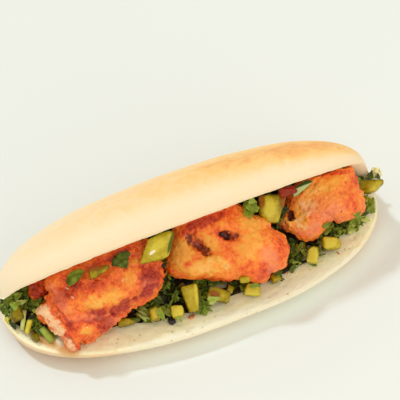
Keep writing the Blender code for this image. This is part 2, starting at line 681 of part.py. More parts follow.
def make_pickles(bread, bed, chickens):
    """Every cut piece, each laid against what is already there."""
    pieces = {}
    for order, (name, place, size, turn, form) in enumerate(TOP_PIECES):
        piece = chunk(from_mouth(*place), size, turn, MOUTH_FRAME, form, seed=order)
        settle(piece, [*bed, *chickens, *pieces.values()], -MOUTH_OUT, 90 * MM)
        press_under_ceiling(piece, 3.0 * GAP)
        slide_clear(piece, [*chickens, *pieces.values()], MOUTH_OUT)
        pieces[name] = piece
    ground, _ = surface(bed)
    for order, (name, place, size, turn, form) in enumerate(BED_PIECES):
        x, y = place[0] * MM, place[1] * MM
        top = ground.ray_cast(Vector((x, y, 0.1)), DOWN, 0.2)[0] or Vector((x, y, bed_height(x, y)))
        start = Vector((x, y, top.z + 0.5 * size[2] * MM + START_CLEARANCE))
        piece = chunk(start, size, turn, FLAT_FRAME, form, seed=BED_PIECE_SEED + order)
        others = [bread, *bed, *chickens, *pieces.values()]
        settle(piece, [bread, *bed], DOWN, 30 * MM)
        slide_clear(piece, others, FORWARD)
        pieces[name] = settle(piece, others, DOWN, 12 * MM)
    return pieces


def make_leaves(others):
    """The loose leaves that lie on the filling."""
    leaves = {}
    for order, (name, place, length, width, turn, lobes) in enumerate(LEAVES):
        start = from_mouth(*place, START_OUT)
        leaves[name] = leaf(start, length, width, turn, lobes, others, order + 1)
    return leaves


def showing_spots(meshes, tree, rng):
    """Points spread over the meshes where nothing hides them, with their normals."""
    faces = [face for mesh in meshes for face in mesh.faces]
    weights = [face.calc_area() for face in faces]
    for face in rng.choices(faces, weights, k=TRIES):
        shares = [rng.random() for _ in face.verts]
        point = sum((vertex.co * share for vertex, share in zip(face.verts, shares)), Vector())
        point /= sum(shares)
        ways = [way for way in SIDES if face.normal.dot(way) > 0.05]
        if any(tree.ray_cast(point + way * GAP, way, 0.3)[0] is None for way in ways):
            yield point, face.normal.copy()


def fits(bit, tree):
    """Lift a bit clear of the crumb, and say whether it is clear of all else."""
    lift = max(crumb_height(vertex.co.x, vertex.co.y) + 2.0 * GAP - vertex.co.z for vertex in bit.verts)
    for vertex in bit.verts:
        vertex.co.z += max(0.0, lift)
    if any((under_ceiling(vertex.co, 3.0 * GAP) - vertex.co).length > 0.0 for vertex in bit.verts):
        return False
    own_tree, _ = surface([bit])
    return not own_tree.overlap(tree)


def stem(point, normal, rng):
    """A chopped stem that lies in the bed."""
    half = 0.5 * rng.uniform(*STEM_LENGTH) * MM
    way = Vector([rng.uniform(-1.0, 1.0) for _ in range(3)]) + normal * 0.5
    way = way.normalized() * half
    middle = point + normal * 0.7 * MM
    bend = normal * 0.4 * MM
    return tube([middle - way, middle + bend, middle + way], rng.uniform(*STEM_RADIUS) * MM, 5)


def make_greens(bed, others):
    """Chopped leaves, stems and charred bits that show on the bed, clear of the others."""
    rng = random.Random(SEED)
    tree, _ = surface(others)
    for mesh in bed:
        mesh.normal_update()
    bits = []
    for number, (x, y) in enumerate(CHAR_BITS):
        x, y = x * MM, y * MM
        bits.append(chunk(Vector((x, y, bed_height(x, y) + 0.8 * MM)), CHAR_SIZE, (15, 10, 20),
                          FLAT_FRAME, bevel=0.5, seed=CHAR_BIT_SEED + number))
    bits = [bit for bit in bits if fits(bit, tree)]
    wanted = len(bits) + SCRAPS + STEMS
    for point, normal in showing_spots(bed, tree, rng):
        if len(bits) == wanted:
            break
        if len(bits) % STEM_EVERY == STEM_EVERY - 1:
            bit = stem(point, normal, rng)
        else:
            length = rng.uniform(*SCRAP_LENGTH) * MM
            bit = scrap(point + normal * 0.18 * length, length, rng.uniform(*SCRAP_WIDTH) * MM, rng)
        if fits(bit, tree):
            bits.append(bit)
        else:
            bit.free()
    return bits


def fuse(core, bits, collection):
    """One Boolean union of the bed's core with its bits."""
    for number, bit in enumerate(bits):
        add_object(f"bit_{number}", bit, None, collection)
    union = core.modifiers.new("greens", "BOOLEAN")
    union.operation = "UNION"
    union.operand_type = "COLLECTION"
    union.collection = collection
    union.solver = "EXACT"
    evaluated = core.evaluated_get(bpy.context.evaluated_depsgraph_get())
    fused = bpy.data.meshes.new_from_object(evaluated)
    core.modifiers.remove(union)
    core.data = fused
    for obj in list(collection.objects):
        bpy.data.objects.remove(obj, do_unlink=True)
    bpy.data.collections.remove(collection)


def keep_largest(obj):
    """Drop loose scraps, so that one closed body is left."""
    mesh = bmesh.new()
    mesh.from_mesh(obj.data)
    bmesh.ops.dissolve_limit(mesh, angle_limit=FLAT_ANGLE, verts=mesh.verts[:], edges=mesh.edges[:])
    bmesh.ops.triangulate(mesh, faces=mesh.faces[:])
    left = set(mesh.verts)
    bodies = []
    while left:
        body, edge = set(), [left.pop()]
        while edge:
            vertex = edge.pop()
            body.add(vertex)
            for link in vertex.link_edges:
                other = link.other_vert(vertex)
                if other in left:
                    left.remove(other)
                    edge.append(other)
        bodies.append(body)
    bodies.sort(key=len)
    loose = [vertex for body in bodies[:-1] for vertex in body]
    bmesh.ops.delete(mesh, geom=loose, context="VERTS")
    mesh.to_mesh(obj.data)
    mesh.free()


def centre_on_table(objects):
    """Move the finished part so that its origin is the middle of its box, on the table."""
    bpy.context.view_layer.update()
    corners = [vertex.co for obj in objects for vertex in obj.data.vertices]
    middle = Vector([0.5 * (min(co[axis] for co in corners) + max(co[axis] for co in corners))
                     for axis in range(3)])
    middle.z = min(co.z for co in corners)
    for obj in objects:
        obj.data.transform(Matrix.Translation(-middle))


def main():
    """Build the sandwich, piece by piece, from the roll to the loose leaves."""
    clear_scene()
    parts = new_collection("shish_taouk_sandwich")
    crust = finish("bread_crust", (0.93, 0.80, 0.56), 0.7)
    meat = finish("grilled_chicken", (0.80, 0.28, 0.08), 0.35)
    green = finish("chopped_greens", (0.12, 0.22, 0.04), 0.5)
    pickle = finish("pickle", (0.55, 0.48, 0.06), 0.2)
    tomato = finish("tomato", (0.5, 0.04, 0.02), 0.2)
    bread = make_bread()
    bed = make_bed()
    chickens = make_chickens()
    clumps = make_clumps(list(chickens.values()))
    pickles = make_pickles(bread, [bed, *clumps], list(chickens.values()))
    leaves = make_leaves([bed, *clumps, *chickens.values(), *pickles.values()])
    others = [bread, *chickens.values(), *pickles.values(), *leaves.values()]
    greens = make_greens([bed, *clumps], others)
    add_object("bread", bread, crust, parts)
    salad = add_object("salad", bed, green, parts)
    fuse(salad, clumps + greens, new_collection("greens"))
    keep_largest(salad)
    for name, mesh in chickens.items():
        add_object(name, mesh, meat, parts)
    for name, mesh in pickles.items():
        add_object(name, mesh, tomato if name.startswith("tomato") else pickle, parts)
    for name, mesh in leaves.items():
        leaf_object = add_object(name, mesh, green, parts)
        wall = leaf_object.modifiers.new("thickness", "SOLIDIFY")
        wall.thickness = LEAF_WALL
        wall.offset = 0.0
    centre_on_table(list(parts.objects))


if __name__ == "__main__":
    main()
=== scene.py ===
"""Shish taouk sandwich: the looks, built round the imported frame.

Every node of the frame gets a finished piece: the roll, the three grilled pieces of
chicken and their scrap, the cut pickle, tomato and pepper, the parsley leaves, and the
heap of chopped greens with its stems, bits and crumbs. Lengths are metres, in the frame's
own axes: +X along the roll, -Y its open side, +Z up. Columns and rows are those of the
picture that the camera sees, which is 400 points wide and high.
"""

import logging
import math
import random
from dataclasses import dataclass
from enum import Enum

import bpy
import numpy as np
from mathutils import Matrix, Vector, noise
from mathutils.bvhtree import BVHTree

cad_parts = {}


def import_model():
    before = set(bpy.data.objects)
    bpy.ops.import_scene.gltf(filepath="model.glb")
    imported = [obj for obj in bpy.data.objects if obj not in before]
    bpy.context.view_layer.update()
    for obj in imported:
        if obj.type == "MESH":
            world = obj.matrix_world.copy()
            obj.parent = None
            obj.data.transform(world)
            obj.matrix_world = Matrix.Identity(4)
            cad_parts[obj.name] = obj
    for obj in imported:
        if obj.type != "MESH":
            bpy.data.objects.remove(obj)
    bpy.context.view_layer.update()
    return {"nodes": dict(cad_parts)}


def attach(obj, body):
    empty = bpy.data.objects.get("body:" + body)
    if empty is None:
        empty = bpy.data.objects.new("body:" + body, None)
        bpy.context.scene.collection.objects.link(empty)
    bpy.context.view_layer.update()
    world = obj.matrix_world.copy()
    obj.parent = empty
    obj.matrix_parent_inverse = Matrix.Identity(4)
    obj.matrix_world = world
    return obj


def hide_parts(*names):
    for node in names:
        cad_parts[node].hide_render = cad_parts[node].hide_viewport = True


LOG = logging.getLogger("sandwich")
MM = 0.001
SEED = 7
SENSOR = 36.0
Socket = bpy.types.NodeSocket
Object = bpy.types.Object
Material = bpy.types.Material
Array = np.ndarray
Triple = tuple[float, float, float]
Stops = tuple[tuple[float, str], ...]
Faces = list[tuple[int, ...]]
Shape = tuple[Array, Faces]


# --- the viewpoint

@dataclass(frozen=True)
class Viewpoint:
    """Where the sandwich is seen from, and where in the picture its parts appear."""

    middle: Triple = (-0.538 * MM, 9.35 * MM, 0.0)
    turn: float = 22.98  # degrees to the left of straight on
    height: float = 55.0  # degrees above the horizon
    distance: float = 0.8  # from the middle to the eye
    scale: float = 1990.0  # picture points per metre at that distance
    column: float = 188.1  # where the middle appears
    row: float = 256.0
    frame: float = 400.0  # width and height of the picture

    def axes(self) -> tuple[Array, Array, Array]:
        """Directions to the right, upwards in the picture and towards the eye."""
        turn, height = math.radians(self.turn), math.radians(self.height)
        right = np.array((math.cos(turn), -math.sin(turn), 0.0))
        up = np.array((math.sin(turn) * math.sin(height), math.cos(turn) * math.sin(height),
                       math.cos(height)))
        return right, up, np.cross(right, up)

    def seen(self, points: Array) -> tuple[Array, Array]:
        """Where points appear in the picture.

        Args:
            points: their places, one a row.

        Returns:
            Their columns and their rows.
        """
        right, up, out = self.axes()
        local = points - np.array(self.middle)
        factor = self.scale * self.distance / (self.distance - local @ out)
        return self.column + factor * (local @ right), self.row - factor * (local @ up)

    def ray(self, column: float, row: float) -> tuple[Vector, Vector]:
        """The line of sight through a place in the picture.

        Args:
            column: of the place.
            row: of the place.

        Returns:
            The eye and the direction.
        """
        right, up, out = self.axes()
        reach = self.scale * self.distance
        way = right * (column - self.column) / reach - up * (row - self.row) / reach - out
        return Vector(np.array(self.middle) + self.distance * out), Vector(way).normalized()

    def camera(self) -> None:
        """Add the camera, aimed so that the sandwich lies in the picture as it should."""
        eye, way = self.ray(0.5 * self.frame, 0.5 * self.frame)
        data = bpy.data.cameras.new("camera")
        data.sensor_width = SENSOR
        data.lens = SENSOR * self.scale * self.distance / self.frame
        camera = bpy.data.objects.new("camera", data)
        bpy.context.scene.collection.objects.link(camera)
        camera.location = eye
        camera.rotation_mode = "QUATERNION"
        camera.rotation_quaternion = way.to_track_quat("-Z", "Y")
        bpy.context.scene.camera = camera


VIEW = Viewpoint()
RIGHT, UP, OUT = (Vector(axis) for axis in VIEW.axes())
ACROSS, UPWARDS, TOWARDS = (np.array(axis) for axis in (RIGHT, UP, OUT))


# --- shader wiring

class Mark(Enum):
    """What is painted on a mesh point by point, by the name of its attribute."""

    CRUMB = "crumb"
    GOLD = "gold"
    RED = "red"
    CHAR = "char"
    # pale flesh; the smallest pale dabs on the chicken and the pickle wedge are painted highlights
    PALE = "pale"
    PINK = "pink"
    CRIMSON = "crimson"
    STRAND = "strand"
    SHADE = "shade"
    # painted shade in the crevices of the chicken
    HOLLOW = "hollow"
    SKIN = "skin"
    FORM = "form"


Marks = dict[Mark, Array]


def colour(code: str) -> tuple[float, float, float, float]:
    """A six-digit colour code as linear red, green, blue and alpha."""
    parts = [int(code[start:start + 2], 16) / 255.0 for start in (0, 2, 4)]
    return (*(part / 12.92 if part <= 0.04045 else ((part + 0.055) / 1.055) ** 2.4
              for part in parts), 1.0)


class Value:
    """A number that varies over a surface, for maths written as in Python."""

    def __init__(self, nodes: "Nodes", socket: Socket) -> None:
        """Wrap the output socket of a node tree."""
        self.nodes = nodes
        self.socket = socket

    def _math(self, operation: str, other: object) -> "Value":
        """The result of a Math node on this value and another value or number."""
        return self.nodes.value("ShaderNodeMath", {"operation": operation}, {0: self, 1: other})

    def __add__(self, other: object) -> "Value":
        """Sum."""
        return self._math("ADD", other)

    def __sub__(self, other: object) -> "Value":
        """Difference."""
        return self._math("SUBTRACT", other)

    def __mul__(self, other: object) -> "Value":
        """Product."""
        return self._math("MULTIPLY", other)

    def within(self, low: float, high: float) -> "Value":
        """0 at the low end and 1 at the high end, with a soft step between them."""
        return self.nodes.value("ShaderNodeMapRange", {"interpolation_type": "SMOOTHSTEP"},
                                {"Value": self, "From Min": low, "From Max": high})


class Nodes:
    """One material and the ways to fill its node tree."""

    def __init__(self, name: str) -> None:
        """Make a material with a Principled shader."""
        self.material = bpy.data.materials.new(name)
        self.material.use_nodes = True
        self.tree = self.material.node_tree
        self.shader = next(node for node in self.tree.nodes if node.type == "BSDF_PRINCIPLED")
        self.place = self.node("ShaderNodeTexCoord").outputs["Object"]

    def node(self, kind: str, settings: dict[str, object] | None = None,
             inputs: dict[object, object] | None = None) -> bpy.types.Node:
        """Add any node.

        Args:
            kind: the node's type.
            settings: properties that are set first.
            inputs: values or links by socket name or number.

        Returns:
            The new node.
        """
        node = self.tree.nodes.new(kind)
        for key, setting in (settings or {}).items():
            setattr(node, key, setting)
        return self.feed(node, inputs or {})

    def feed(self, node: bpy.types.Node, inputs: dict[object, object]) -> bpy.types.Node:
        """Link or set sockets.

        Args:
            node: whose sockets they are.
            inputs: a Value, a socket, a colour code or a constant by socket name or number.

        Returns:
            The same node.
        """
        for key, value in inputs.items():
            source = value.socket if isinstance(value, Value) else value
            if isinstance(source, Socket):
                self.tree.links.new(source, node.inputs[key])
            else:
                constant = colour(source) if isinstance(source, str) else source
                node.inputs[key].default_value = constant
        return node

    def value(self, kind: str, settings: dict[str, object] | None = None,
              inputs: dict[object, object] | None = None, output: int | str = 0) -> Value:
        """A node's output as a Value."""
        return Value(self, self.node(kind, settings, inputs).outputs[output])

    def noise(self, size: float, detail: float, rough: float = 0.6, warp: float = 0.0) -> Value:
        """Soft noise from 0 to 1, whose lumps are about size millimetres across."""
        return self.value("ShaderNodeTexNoise", None,
                          {"Vector": self.place, "Scale": 1.0 / (size * MM), "Detail": detail,
                           "Roughness": rough, "Distortion": warp})

    def mark(self, mark: Mark) -> Value:
        """A value that the mesh carries at its points."""
        return self.value("ShaderNodeAttribute", {"attribute_name": mark.value}, None, "Fac")

    def ramp(self, value: Value, stops: Stops) -> Socket:
        """The colour at a value.

        Args:
            value: where on the ramp it is.
            stops: places on the ramp and their colour codes.

        Returns:
            The socket that gives the colour.
        """
        node = self.node("ShaderNodeValToRGB", None, {"Fac": value})
        elements = node.color_ramp.elements
        while len(elements) < len(stops):
            elements.new(0.5)
        for element, (position, code) in zip(elements, stops):
            element.position = position
            element.color = colour(code)
        return node.outputs["Color"]

    def mix(self, share: Value, first: object, second: object, kind: str = "RGBA") -> Socket:
        """A colour between two colours, or a normal between two normals.

        Args:
            share: how much of the second it has.
            first: where the share is 0.
            second: where the share is 1.
            kind: RGBA or VECTOR.

        Returns:
            The socket that gives the result.
        """
        start, end, result = {"RGBA": (6, 7, 2), "VECTOR": (4, 5, 1)}[kind]
        inputs = {0: share, start: first, end: second}
        return self.node("ShaderNodeMix", {"data_type": kind}, inputs).outputs[result]

    def relief(self, height: Value, depth: float, *below: Socket) -> Socket:
        """A bumped normal.

        Args:
            height: from 0 to 1.
            depth: how far apart 0 and 1 are, in millimetres.
            below: the normal that it lies on, if any.

        Returns:
            The socket that gives the normal.
        """
        inputs = {"Height": height, "Distance": depth * MM, "Strength": 1.0}
        inputs.update(("Normal", normal) for normal in below)
        return self.node("ShaderNodeBump", None, inputs).outputs["Normal"]

    def surface(self, links: dict[str, object], **constants: object) -> Material:
        """Feed the shader.

        Args:
            links: what changes over the surface, by socket name.
            constants: what is the same all over, with _ for a space in the socket's name.

        Returns:
            The finished material.
        """
        named = {name.replace("_", " "): value for name, value in constants.items()}
        self.feed(self.shader, {**links, **named})
        return self.material


# --- finishes

@dataclass(frozen=True)
class BreadFinish:
    """Soft matte crust that browns towards the crown, and a pale open crumb."""

    crust: Stops = ((0.0, "f2dfbc"), (0.35, "f3d6a6"), (0.75, "f3c274"), (1.0, "eba153"))
    toasted: str = "d9a463"
    crumb_light: str = "fff8ce"
    crumb_dark: str = "f9ecb6"
    floury: str = "f2ecce"

    def material(self) -> Material:
        """The bread's material."""
        nodes = Nodes("bread")
        crumb, gold, red = (nodes.mark(mark) for mark in (Mark.CRUMB, Mark.GOLD, Mark.RED))
        blotch = nodes.noise(9, 4.0, 0.65, 0.8) - 0.5
        fine = nodes.noise(2.2, 4.0) - 0.5
        browning = gold + blotch * 0.8 * (gold + 0.15) + fine * 0.2 * (gold + 0.15)
        cells = nodes.value("ShaderNodeTexVoronoi", None,
                            {"Vector": nodes.place, "Scale": 1.0 / (2.3 * MM)})
        pores = cells.within(0.0, 0.45)
        soft = nodes.noise(4, 6.0, 0.7) * 0.9 + pores * 0.1
        inside = nodes.mix(soft.within(0.35, 0.62), self.crumb_dark, self.crumb_light)
        skin = nodes.mix(crumb, nodes.ramp(browning, self.crust), inside)
        skin = nodes.mix(red + blotch * 0.4 * red, skin, self.toasted)
        skin = nodes.mix(nodes.mark(Mark.PALE), skin, self.floury)
        baked = nodes.relief(nodes.noise(0.9, 3.0), 0.05)
        torn = nodes.relief(pores * 0.1 + nodes.noise(1.3, 6.0, 0.75), 0.35, baked)
        return nodes.surface({"Base Color": skin, "Normal": nodes.mix(crumb, baked, torn, "VECTOR"),
                              "Roughness": crumb * 0.25 + 0.6},
                             Subsurface_Weight=0.12, Subsurface_Radius=(0.004, 0.0022, 0.0012),
                             Specular_IOR_Level=0.3)


@dataclass(frozen=True)
class ChickenFinish:
    """Oily, spiced grilled meat: orange glaze, golden and red patches, dark char."""

    name: str = "grilled_chicken"
    relief: float = 0.75  # millimetres
    tones: Stops = ((0.0, "7c1c08"), (0.18, "bc3610"), (0.34, "ee5c22"), (0.5, "ff862e"),
                    (0.66, "ffa43a"), (0.82, "ffb64c"), (1.0, "ffcc7a"))
    pink: str = "f8926a"
    crimson: str = "8c1a1a"
    rose: str = "c8402c"
    # pale flesh, and painted highlights where the pale dabs are small
    pale: str = "fdd09a"
    ember: str = "6c1e10"
    char: str = "200808"

    def material(self) -> Material:
        """The chicken's material."""
        nodes = Nodes(self.name)
        patch = nodes.noise(2.6, 4.0, 0.6, 0.5)
        fine = nodes.noise(0.8, 3.0, 0.6, 0.3)
        coarse, speck = patch - 0.5, fine - 0.5
        # painted shade: the crevice mark makes the colour darker and redder, and charred, in the
        # crevices
        hollow = nodes.mark(Mark.HOLLOW) - 0.4
        grain = (nodes.noise(8, 4.0, 0.6, 0.6) - 0.5) * 0.4 + coarse * 0.5 + speck * 0.35
        steer = (nodes.mark(Mark.GOLD) - nodes.mark(Mark.RED)) * 0.32
        base = nodes.ramp(grain + steer + 0.5 - hollow * 0.16, self.tones)
        base = nodes.mix(nodes.mark(Mark.PINK) * (patch * 0.7 + 0.3), base, self.pink)
        crimson = nodes.mark(Mark.CRIMSON) + coarse * 0.9 + speck * 1.1 + hollow * 0.5
        reds = nodes.mix(fine.within(0.35, 0.65), self.crimson, self.rose)
        base = nodes.mix(crimson.within(0.15, 1.2), base, reds)
        pale = nodes.mark(Mark.PALE) + speck * 0.6 + coarse * 0.9
        base = nodes.mix(pale.within(0.25, 0.85) * 0.9, base, self.pale)
        char = nodes.mark(Mark.CHAR) + coarse * 0.8 + speck + hollow * 0.3
        base = nodes.mix(char.within(0.2, 0.7) * 0.92, base, self.ember)
        base = nodes.mix(char.within(0.75, 1.15), base, self.char)
        relief = nodes.relief(nodes.noise(1.9, 5.0, 0.65, 0.6), self.relief)
        relief = nodes.relief(nodes.noise(0.5, 3.0), 0.13, relief)
        return nodes.surface({"Base Color": base, "Normal": relief,
                              "Roughness": fine * 0.3 + 0.16},
                             Coat_Weight=0.3, Coat_Roughness=0.07, Subsurface_Weight=0.08,
                             Subsurface_Radius=(0.003, 0.0012, 0.0006), Specular_IOR_Level=0.2)


@dataclass(frozen=True)
class PickleFinish:
    """Wet, half-clear pickled cucumber with a darker skin on one side."""

    name: str = "pickle"
    flesh: str = "ac960c"
    light: str = "d6c440"
    deep: str = "6c5a00"
    skin: str = "525e08"
    amber: str = "98580c"
    # painted highlight, laid by the pale mark
    glint: str = "f6efd2"

    def material(self) -> Material:
        """The pickle's material."""
        nodes = Nodes(self.name)
        streak = nodes.noise(1.6, 3.0)
        uneven = streak - 0.5
        tone = nodes.mark(Mark.SHADE) + (nodes.noise(5, 4.0, 0.55, 0.6) - 0.5) * 0.65
        base = nodes.ramp(tone + uneven * 0.5,
                          ((0.1, self.deep), (0.45, self.flesh), (0.85, self.light)))
        for mark, ragged, low, high, tint in ((Mark.SKIN, 0.3, 0.3, 0.8, self.skin),
                                              (Mark.RED, 0.4, 0.15, 0.9, self.amber),
                                              (Mark.PALE, 0.8, 0.45, 0.8, self.glint)):
            share = (nodes.mark(mark) + uneven * ragged).within(low, high)
            base = nodes.mix(share, base, tint)
        relief = nodes.relief(nodes.noise(1.8, 3.0, 0.5), 0.25)
        return nodes.surface({"Base Color": base, "Normal": relief,
                              "Roughness": streak * 0.15 + 0.1},
                             Coat_Weight=0.2, Coat_Roughness=0.05, Subsurface_Weight=0.15,
                             Subsurface_Radius=(0.003, 0.0025, 0.0005), Specular_IOR_Level=0.12)


@dataclass(frozen=True)
class GreensFinish:
    """Chopped parsley: dark to fresh green, with the odd olive bit."""

    name: str = "parsley"
    rough: float = 0.38
    stops: Stops = ((0.0, "2c2e06"), (0.25, "566612"), (0.5, "829428"), (0.75, "9cae3e"),
                    (1.0, "ccd078"))

    def material(self) -> Material:
        """The parsley's material."""
        nodes = Nodes(self.name)
        tone = nodes.mark(Mark.SHADE) + (nodes.noise(2.4, 3.0) - 0.5) * 0.4
        veins = nodes.relief(nodes.noise(0.9, 3.0), 0.12)
        return nodes.surface({"Base Color": nodes.ramp(tone, self.stops), "Normal": veins},
                             Roughness=self.rough, Coat_Weight=0.08, Coat_Roughness=0.15,
                             Specular_IOR_Level=0.2)


@dataclass(frozen=True)
class PlainFinish:
    """A soft mottled finish between two colours."""

    name: str
    dark: str
    light: str
    rough: float
    grain: float = 1.5  # millimetres

    def material(self) -> Material:
        """The mottled material."""
        nodes = Nodes(self.name)
        cloud = nodes.noise(self.grain, 4.0)
        tone = nodes.mix(cloud.within(0.35, 0.65), self.dark, self.light)
        return nodes.surface({"Base Color": tone, "Normal": nodes.relief(cloud, 0.25 * self.grain)},
                             Roughness=self.rough)


# --- mesh helpers

def select_only(obj: Object) -> None:
    """Make one object the only selected and active one."""
    if bpy.context.mode != "OBJECT":
        bpy.ops.object.mode_set(mode="OBJECT")
    bpy.ops.object.select_all(action="DESELECT")
    obj.select_set(True)
    bpy.context.view_layer.objects.active = obj


def apply(obj: Object, kind: str, **settings: object) -> None:
    """Add a modifier, set it and apply it.

    Args:
        obj: what is changed.
        kind: the modifier's type.
        settings: its properties.
    """
    select_only(obj)
    modifier = obj.modifiers.new(kind.lower(), kind)
    for key, setting in settings.items():
        setattr(modifier, key, setting)
    bpy.ops.object.modifier_apply(modifier=modifier.name)


def subdivide(obj: Object, levels: int) -> None:
    """Subdivide a mesh smoothly."""
    apply(obj, "SUBSURF", levels=levels, render_levels=levels)


def made(name: str, points: list, faces: Faces) -> Object:
    """A new object in the scene.

    Args:
        name: its name and that of its mesh.
        points: places.
        faces: numbers of points.

    Returns:
        The object.
    """
    mesh = bpy.data.meshes.new(name)
    mesh.from_pydata(points, [], faces)
    obj = bpy.data.objects.new(name, mesh)
    bpy.context.scene.collection.objects.link(obj)
    return obj


def copied(node: Object, name: str, squares: bool = False) -> Object:
    """A copy of a frame node as a new object, with its loose triangles merged.

    Args:
        node: the frame's object, which stays as it is.
        name: the new piece's name.
        squares: whether pairs of triangles become four-sided faces.

    Returns:
        The new object.
    """
    obj = made(name, [vertex.co for vertex in node.data.vertices],
               [tuple(face.vertices) for face in node.data.polygons])
    select_only(obj)
    bpy.ops.object.mode_set(mode="EDIT")
    bpy.ops.mesh.select_all(action="SELECT")
    bpy.ops.mesh.remove_doubles(threshold=0.01 * MM)
    if squares:
        limit = math.radians(60)
        bpy.ops.mesh.tris_convert_to_quads(face_threshold=limit, shape_threshold=limit)
    bpy.ops.mesh.normals_make_consistent(inside=False)
    bpy.ops.object.mode_set(mode="OBJECT")
    return obj


def points_of(obj: Object) -> Array:
    """The places of a mesh's points, one a row."""
    flat = np.zeros(3 * len(obj.data.vertices))
    obj.data.vertices.foreach_get("co", flat)
    return flat.reshape(-1, 3)


def move_points(obj: Object, points: Array) -> None:
    """Give a mesh's points new places."""
    obj.data.vertices.foreach_set("co", points.astype(np.float32).ravel())
    obj.data.update()


class Skin:
    """A mesh's points as they were when it was measured, with one row or number for each."""

    def __init__(self, obj: Object) -> None:
        """Measure places, normals, x, y and z in millimetres, and columns and rows."""
        self.points = points_of(obj)
        self.normals = np.zeros(self.points.shape)
        obj.data.vertex_normals.foreach_get("vector", self.normals.ravel())
        self.x, self.y, self.z = self.points.T / MM
        self.columns, self.rows = VIEW.seen(self.points)

    def raised(self, height: Array) -> Array:
        """The points moved along their normals, by a height in millimetres for each."""
        return self.points + self.normals * (MM * height)[:, None]


def rough(points: Array, size: float, seed: float, octaves: int = 1) -> Array:
    """Noise from about -1 to 1 at every point.

    Args:
        points: the places.
        size: how wide the lumps are, in millimetres.
        seed: moves the pattern.
        octaves: how many finer layers are added.

    Returns:
        One number a point.
    """
    drift = Vector((seed * 3.1, seed * 1.7, seed * 5.3))
    places = [Vector(point) + drift for point in points / (size * MM)]
    if octaves == 1:
        return np.array([noise.noise(place) for place in places])
    return np.array([noise.fractal(place, 0.9, 2.0, octaves) for place in places])


def step(low: float, high: float, values: Array) -> Array:
    """0 below the low end and 1 above the high end, with a soft step between."""
    share = np.clip((values - low) / (high - low), 0.0, 1.0)
    return share * share * (3.0 - 2.0 * share)


def paint(obj: Object, marks: Marks, *chosen: Mark) -> None:
    """Write numbers from 0 to 1 on the points of a mesh.

    Args:
        obj: the mesh.
        marks: a number a point, by mark.
        chosen: the marks that are written, without any all of them.
    """
    for mark in chosen or marks:
        layer = obj.data.attributes.new(mark.value, "FLOAT", "POINT")
        layer.data.foreach_set("value", np.clip(marks[mark], 0.0, 1.0).astype(np.float32))


def finish(obj: Object, material: Material, slot: str, *nodes: str) -> None:
    """Dress a piece, let it ride on the sandwich and stand for its nodes.

    Args:
        obj: the piece.
        material: its finish.
        slot: not used.
        nodes: the frame nodes that it replaces, if any.
    """
    obj.data.materials.clear()
    obj.data.materials.append(material)
    select_only(obj)
    bpy.ops.object.shade_smooth()
    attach(obj, "root")
    if nodes:
        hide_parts(*nodes)
    LOG.info("%s: %d points", obj.name, len(obj.data.vertices))


class Ground:
    """Solids that things are laid on, found by a ray."""

    def __init__(self, objects: list[Object]) -> None:
        """Gather the solids into one search tree."""
        points: list[Vector] = []
        faces: list[list[int]] = []
        self.owners: list[str] = []
        for obj in objects:
            start = len(points)
            points += [vertex.co.copy() for vertex in obj.data.vertices]
            faces += [[start + index for index in face.vertices] for face in obj.data.polygons]
            self.owners += [obj.name] * len(obj.data.polygons)
        self.tree = BVHTree.FromPolygons(points, faces)

    def under(self, column: float, row: float) -> tuple[Vector, Vector, str] | None:
        """What shows at a place in the picture: the point, its normal and its solid."""
        hit, normal, face, _ = self.tree.ray_cast(*VIEW.ray(column, row), 2.0)
        return None if hit is None else (hit, normal, self.owners[face])

    def hidden(self, point: Vector, way: Vector) -> bool:
        """Whether something stands in the way from a point in a direction."""
        return self.tree.ray_cast(point + way * 0.6 * MM, way, 0.3)[0] is not None


# --- dabs of colour, relief

@dataclass(frozen=True)
class Dab:
    """A patch of colour or relief, by its place in the picture."""

    mark: Mark
    column: float  # of its middle
    row: float
    wide: float  # half its length, in picture points
    high: float  # half its width
    turn: float = 0.0  # degrees, anticlockwise
    strength: float = 1.0  # in the middle
    height: float = 0.0  # how far the surface stands out there, in millimetres

    def weight(self, skin: Skin, ragged: Array | float) -> Array:
        """How much of the dab falls on points.

        Args:
            skin: the points.
            ragged: what moves the dab's edge there.

        Returns:
            From 0 to 1 for each point.
        """
        turn = math.radians(self.turn)
        across, up = skin.columns - self.column, self.row - skin.rows
        along = (across * math.cos(turn) + up * math.sin(turn)) / self.wide
        aside = (up * math.cos(turn) - across * math.sin(turn)) / self.high
        return step(1.25, 0.35, np.hypot(along, aside) + ragged)


Dabs = tuple[Dab, ...]


def dabs(**rows: tuple[tuple[float, ...], ...]) -> Dabs:
    """Dabs from tables: for each mark, rows of what a dab has from its column on."""
    return tuple(Dab(Mark(name), *row) for name, table in rows.items() for row in table)


def dabbed(patches: Dabs, skin: Skin, ragged: Array | float = 0.0) -> tuple[Marks, Array]:
    """What dabs do to points.

    Args:
        patches: the dabs.
        skin: the points.
        ragged: what moves the edges of the dabs there.

    Returns:
        The strength of every mark, and how far the points stand out, in millimetres.
    """
    marks = {mark: np.zeros(len(skin.points)) for mark in Mark}
    swell = np.zeros(len(skin.points))
    for dab in patches:
        weight = dab.weight(skin, ragged)
        swell += dab.height * weight
        marks[dab.mark] = np.maximum(marks[dab.mark], dab.strength * weight)
    return marks, swell


# --- the roll

LIP_DABS = dabs(red=((43, 337, 22, 6, -32, 0.9), (66, 349, 15, 6, -15, 0.8)))
# How deep the pale band along the lower half's front edge is, in millimetres, at columns of the
# picture.
UNBAKED = ((110, 140, 200, 260, 300, 322, 340, 360, 375),
           (0.0, 2.2, 3.2, 4.4, 6.4, 5.6, 3.0, 1.2, 0.0))


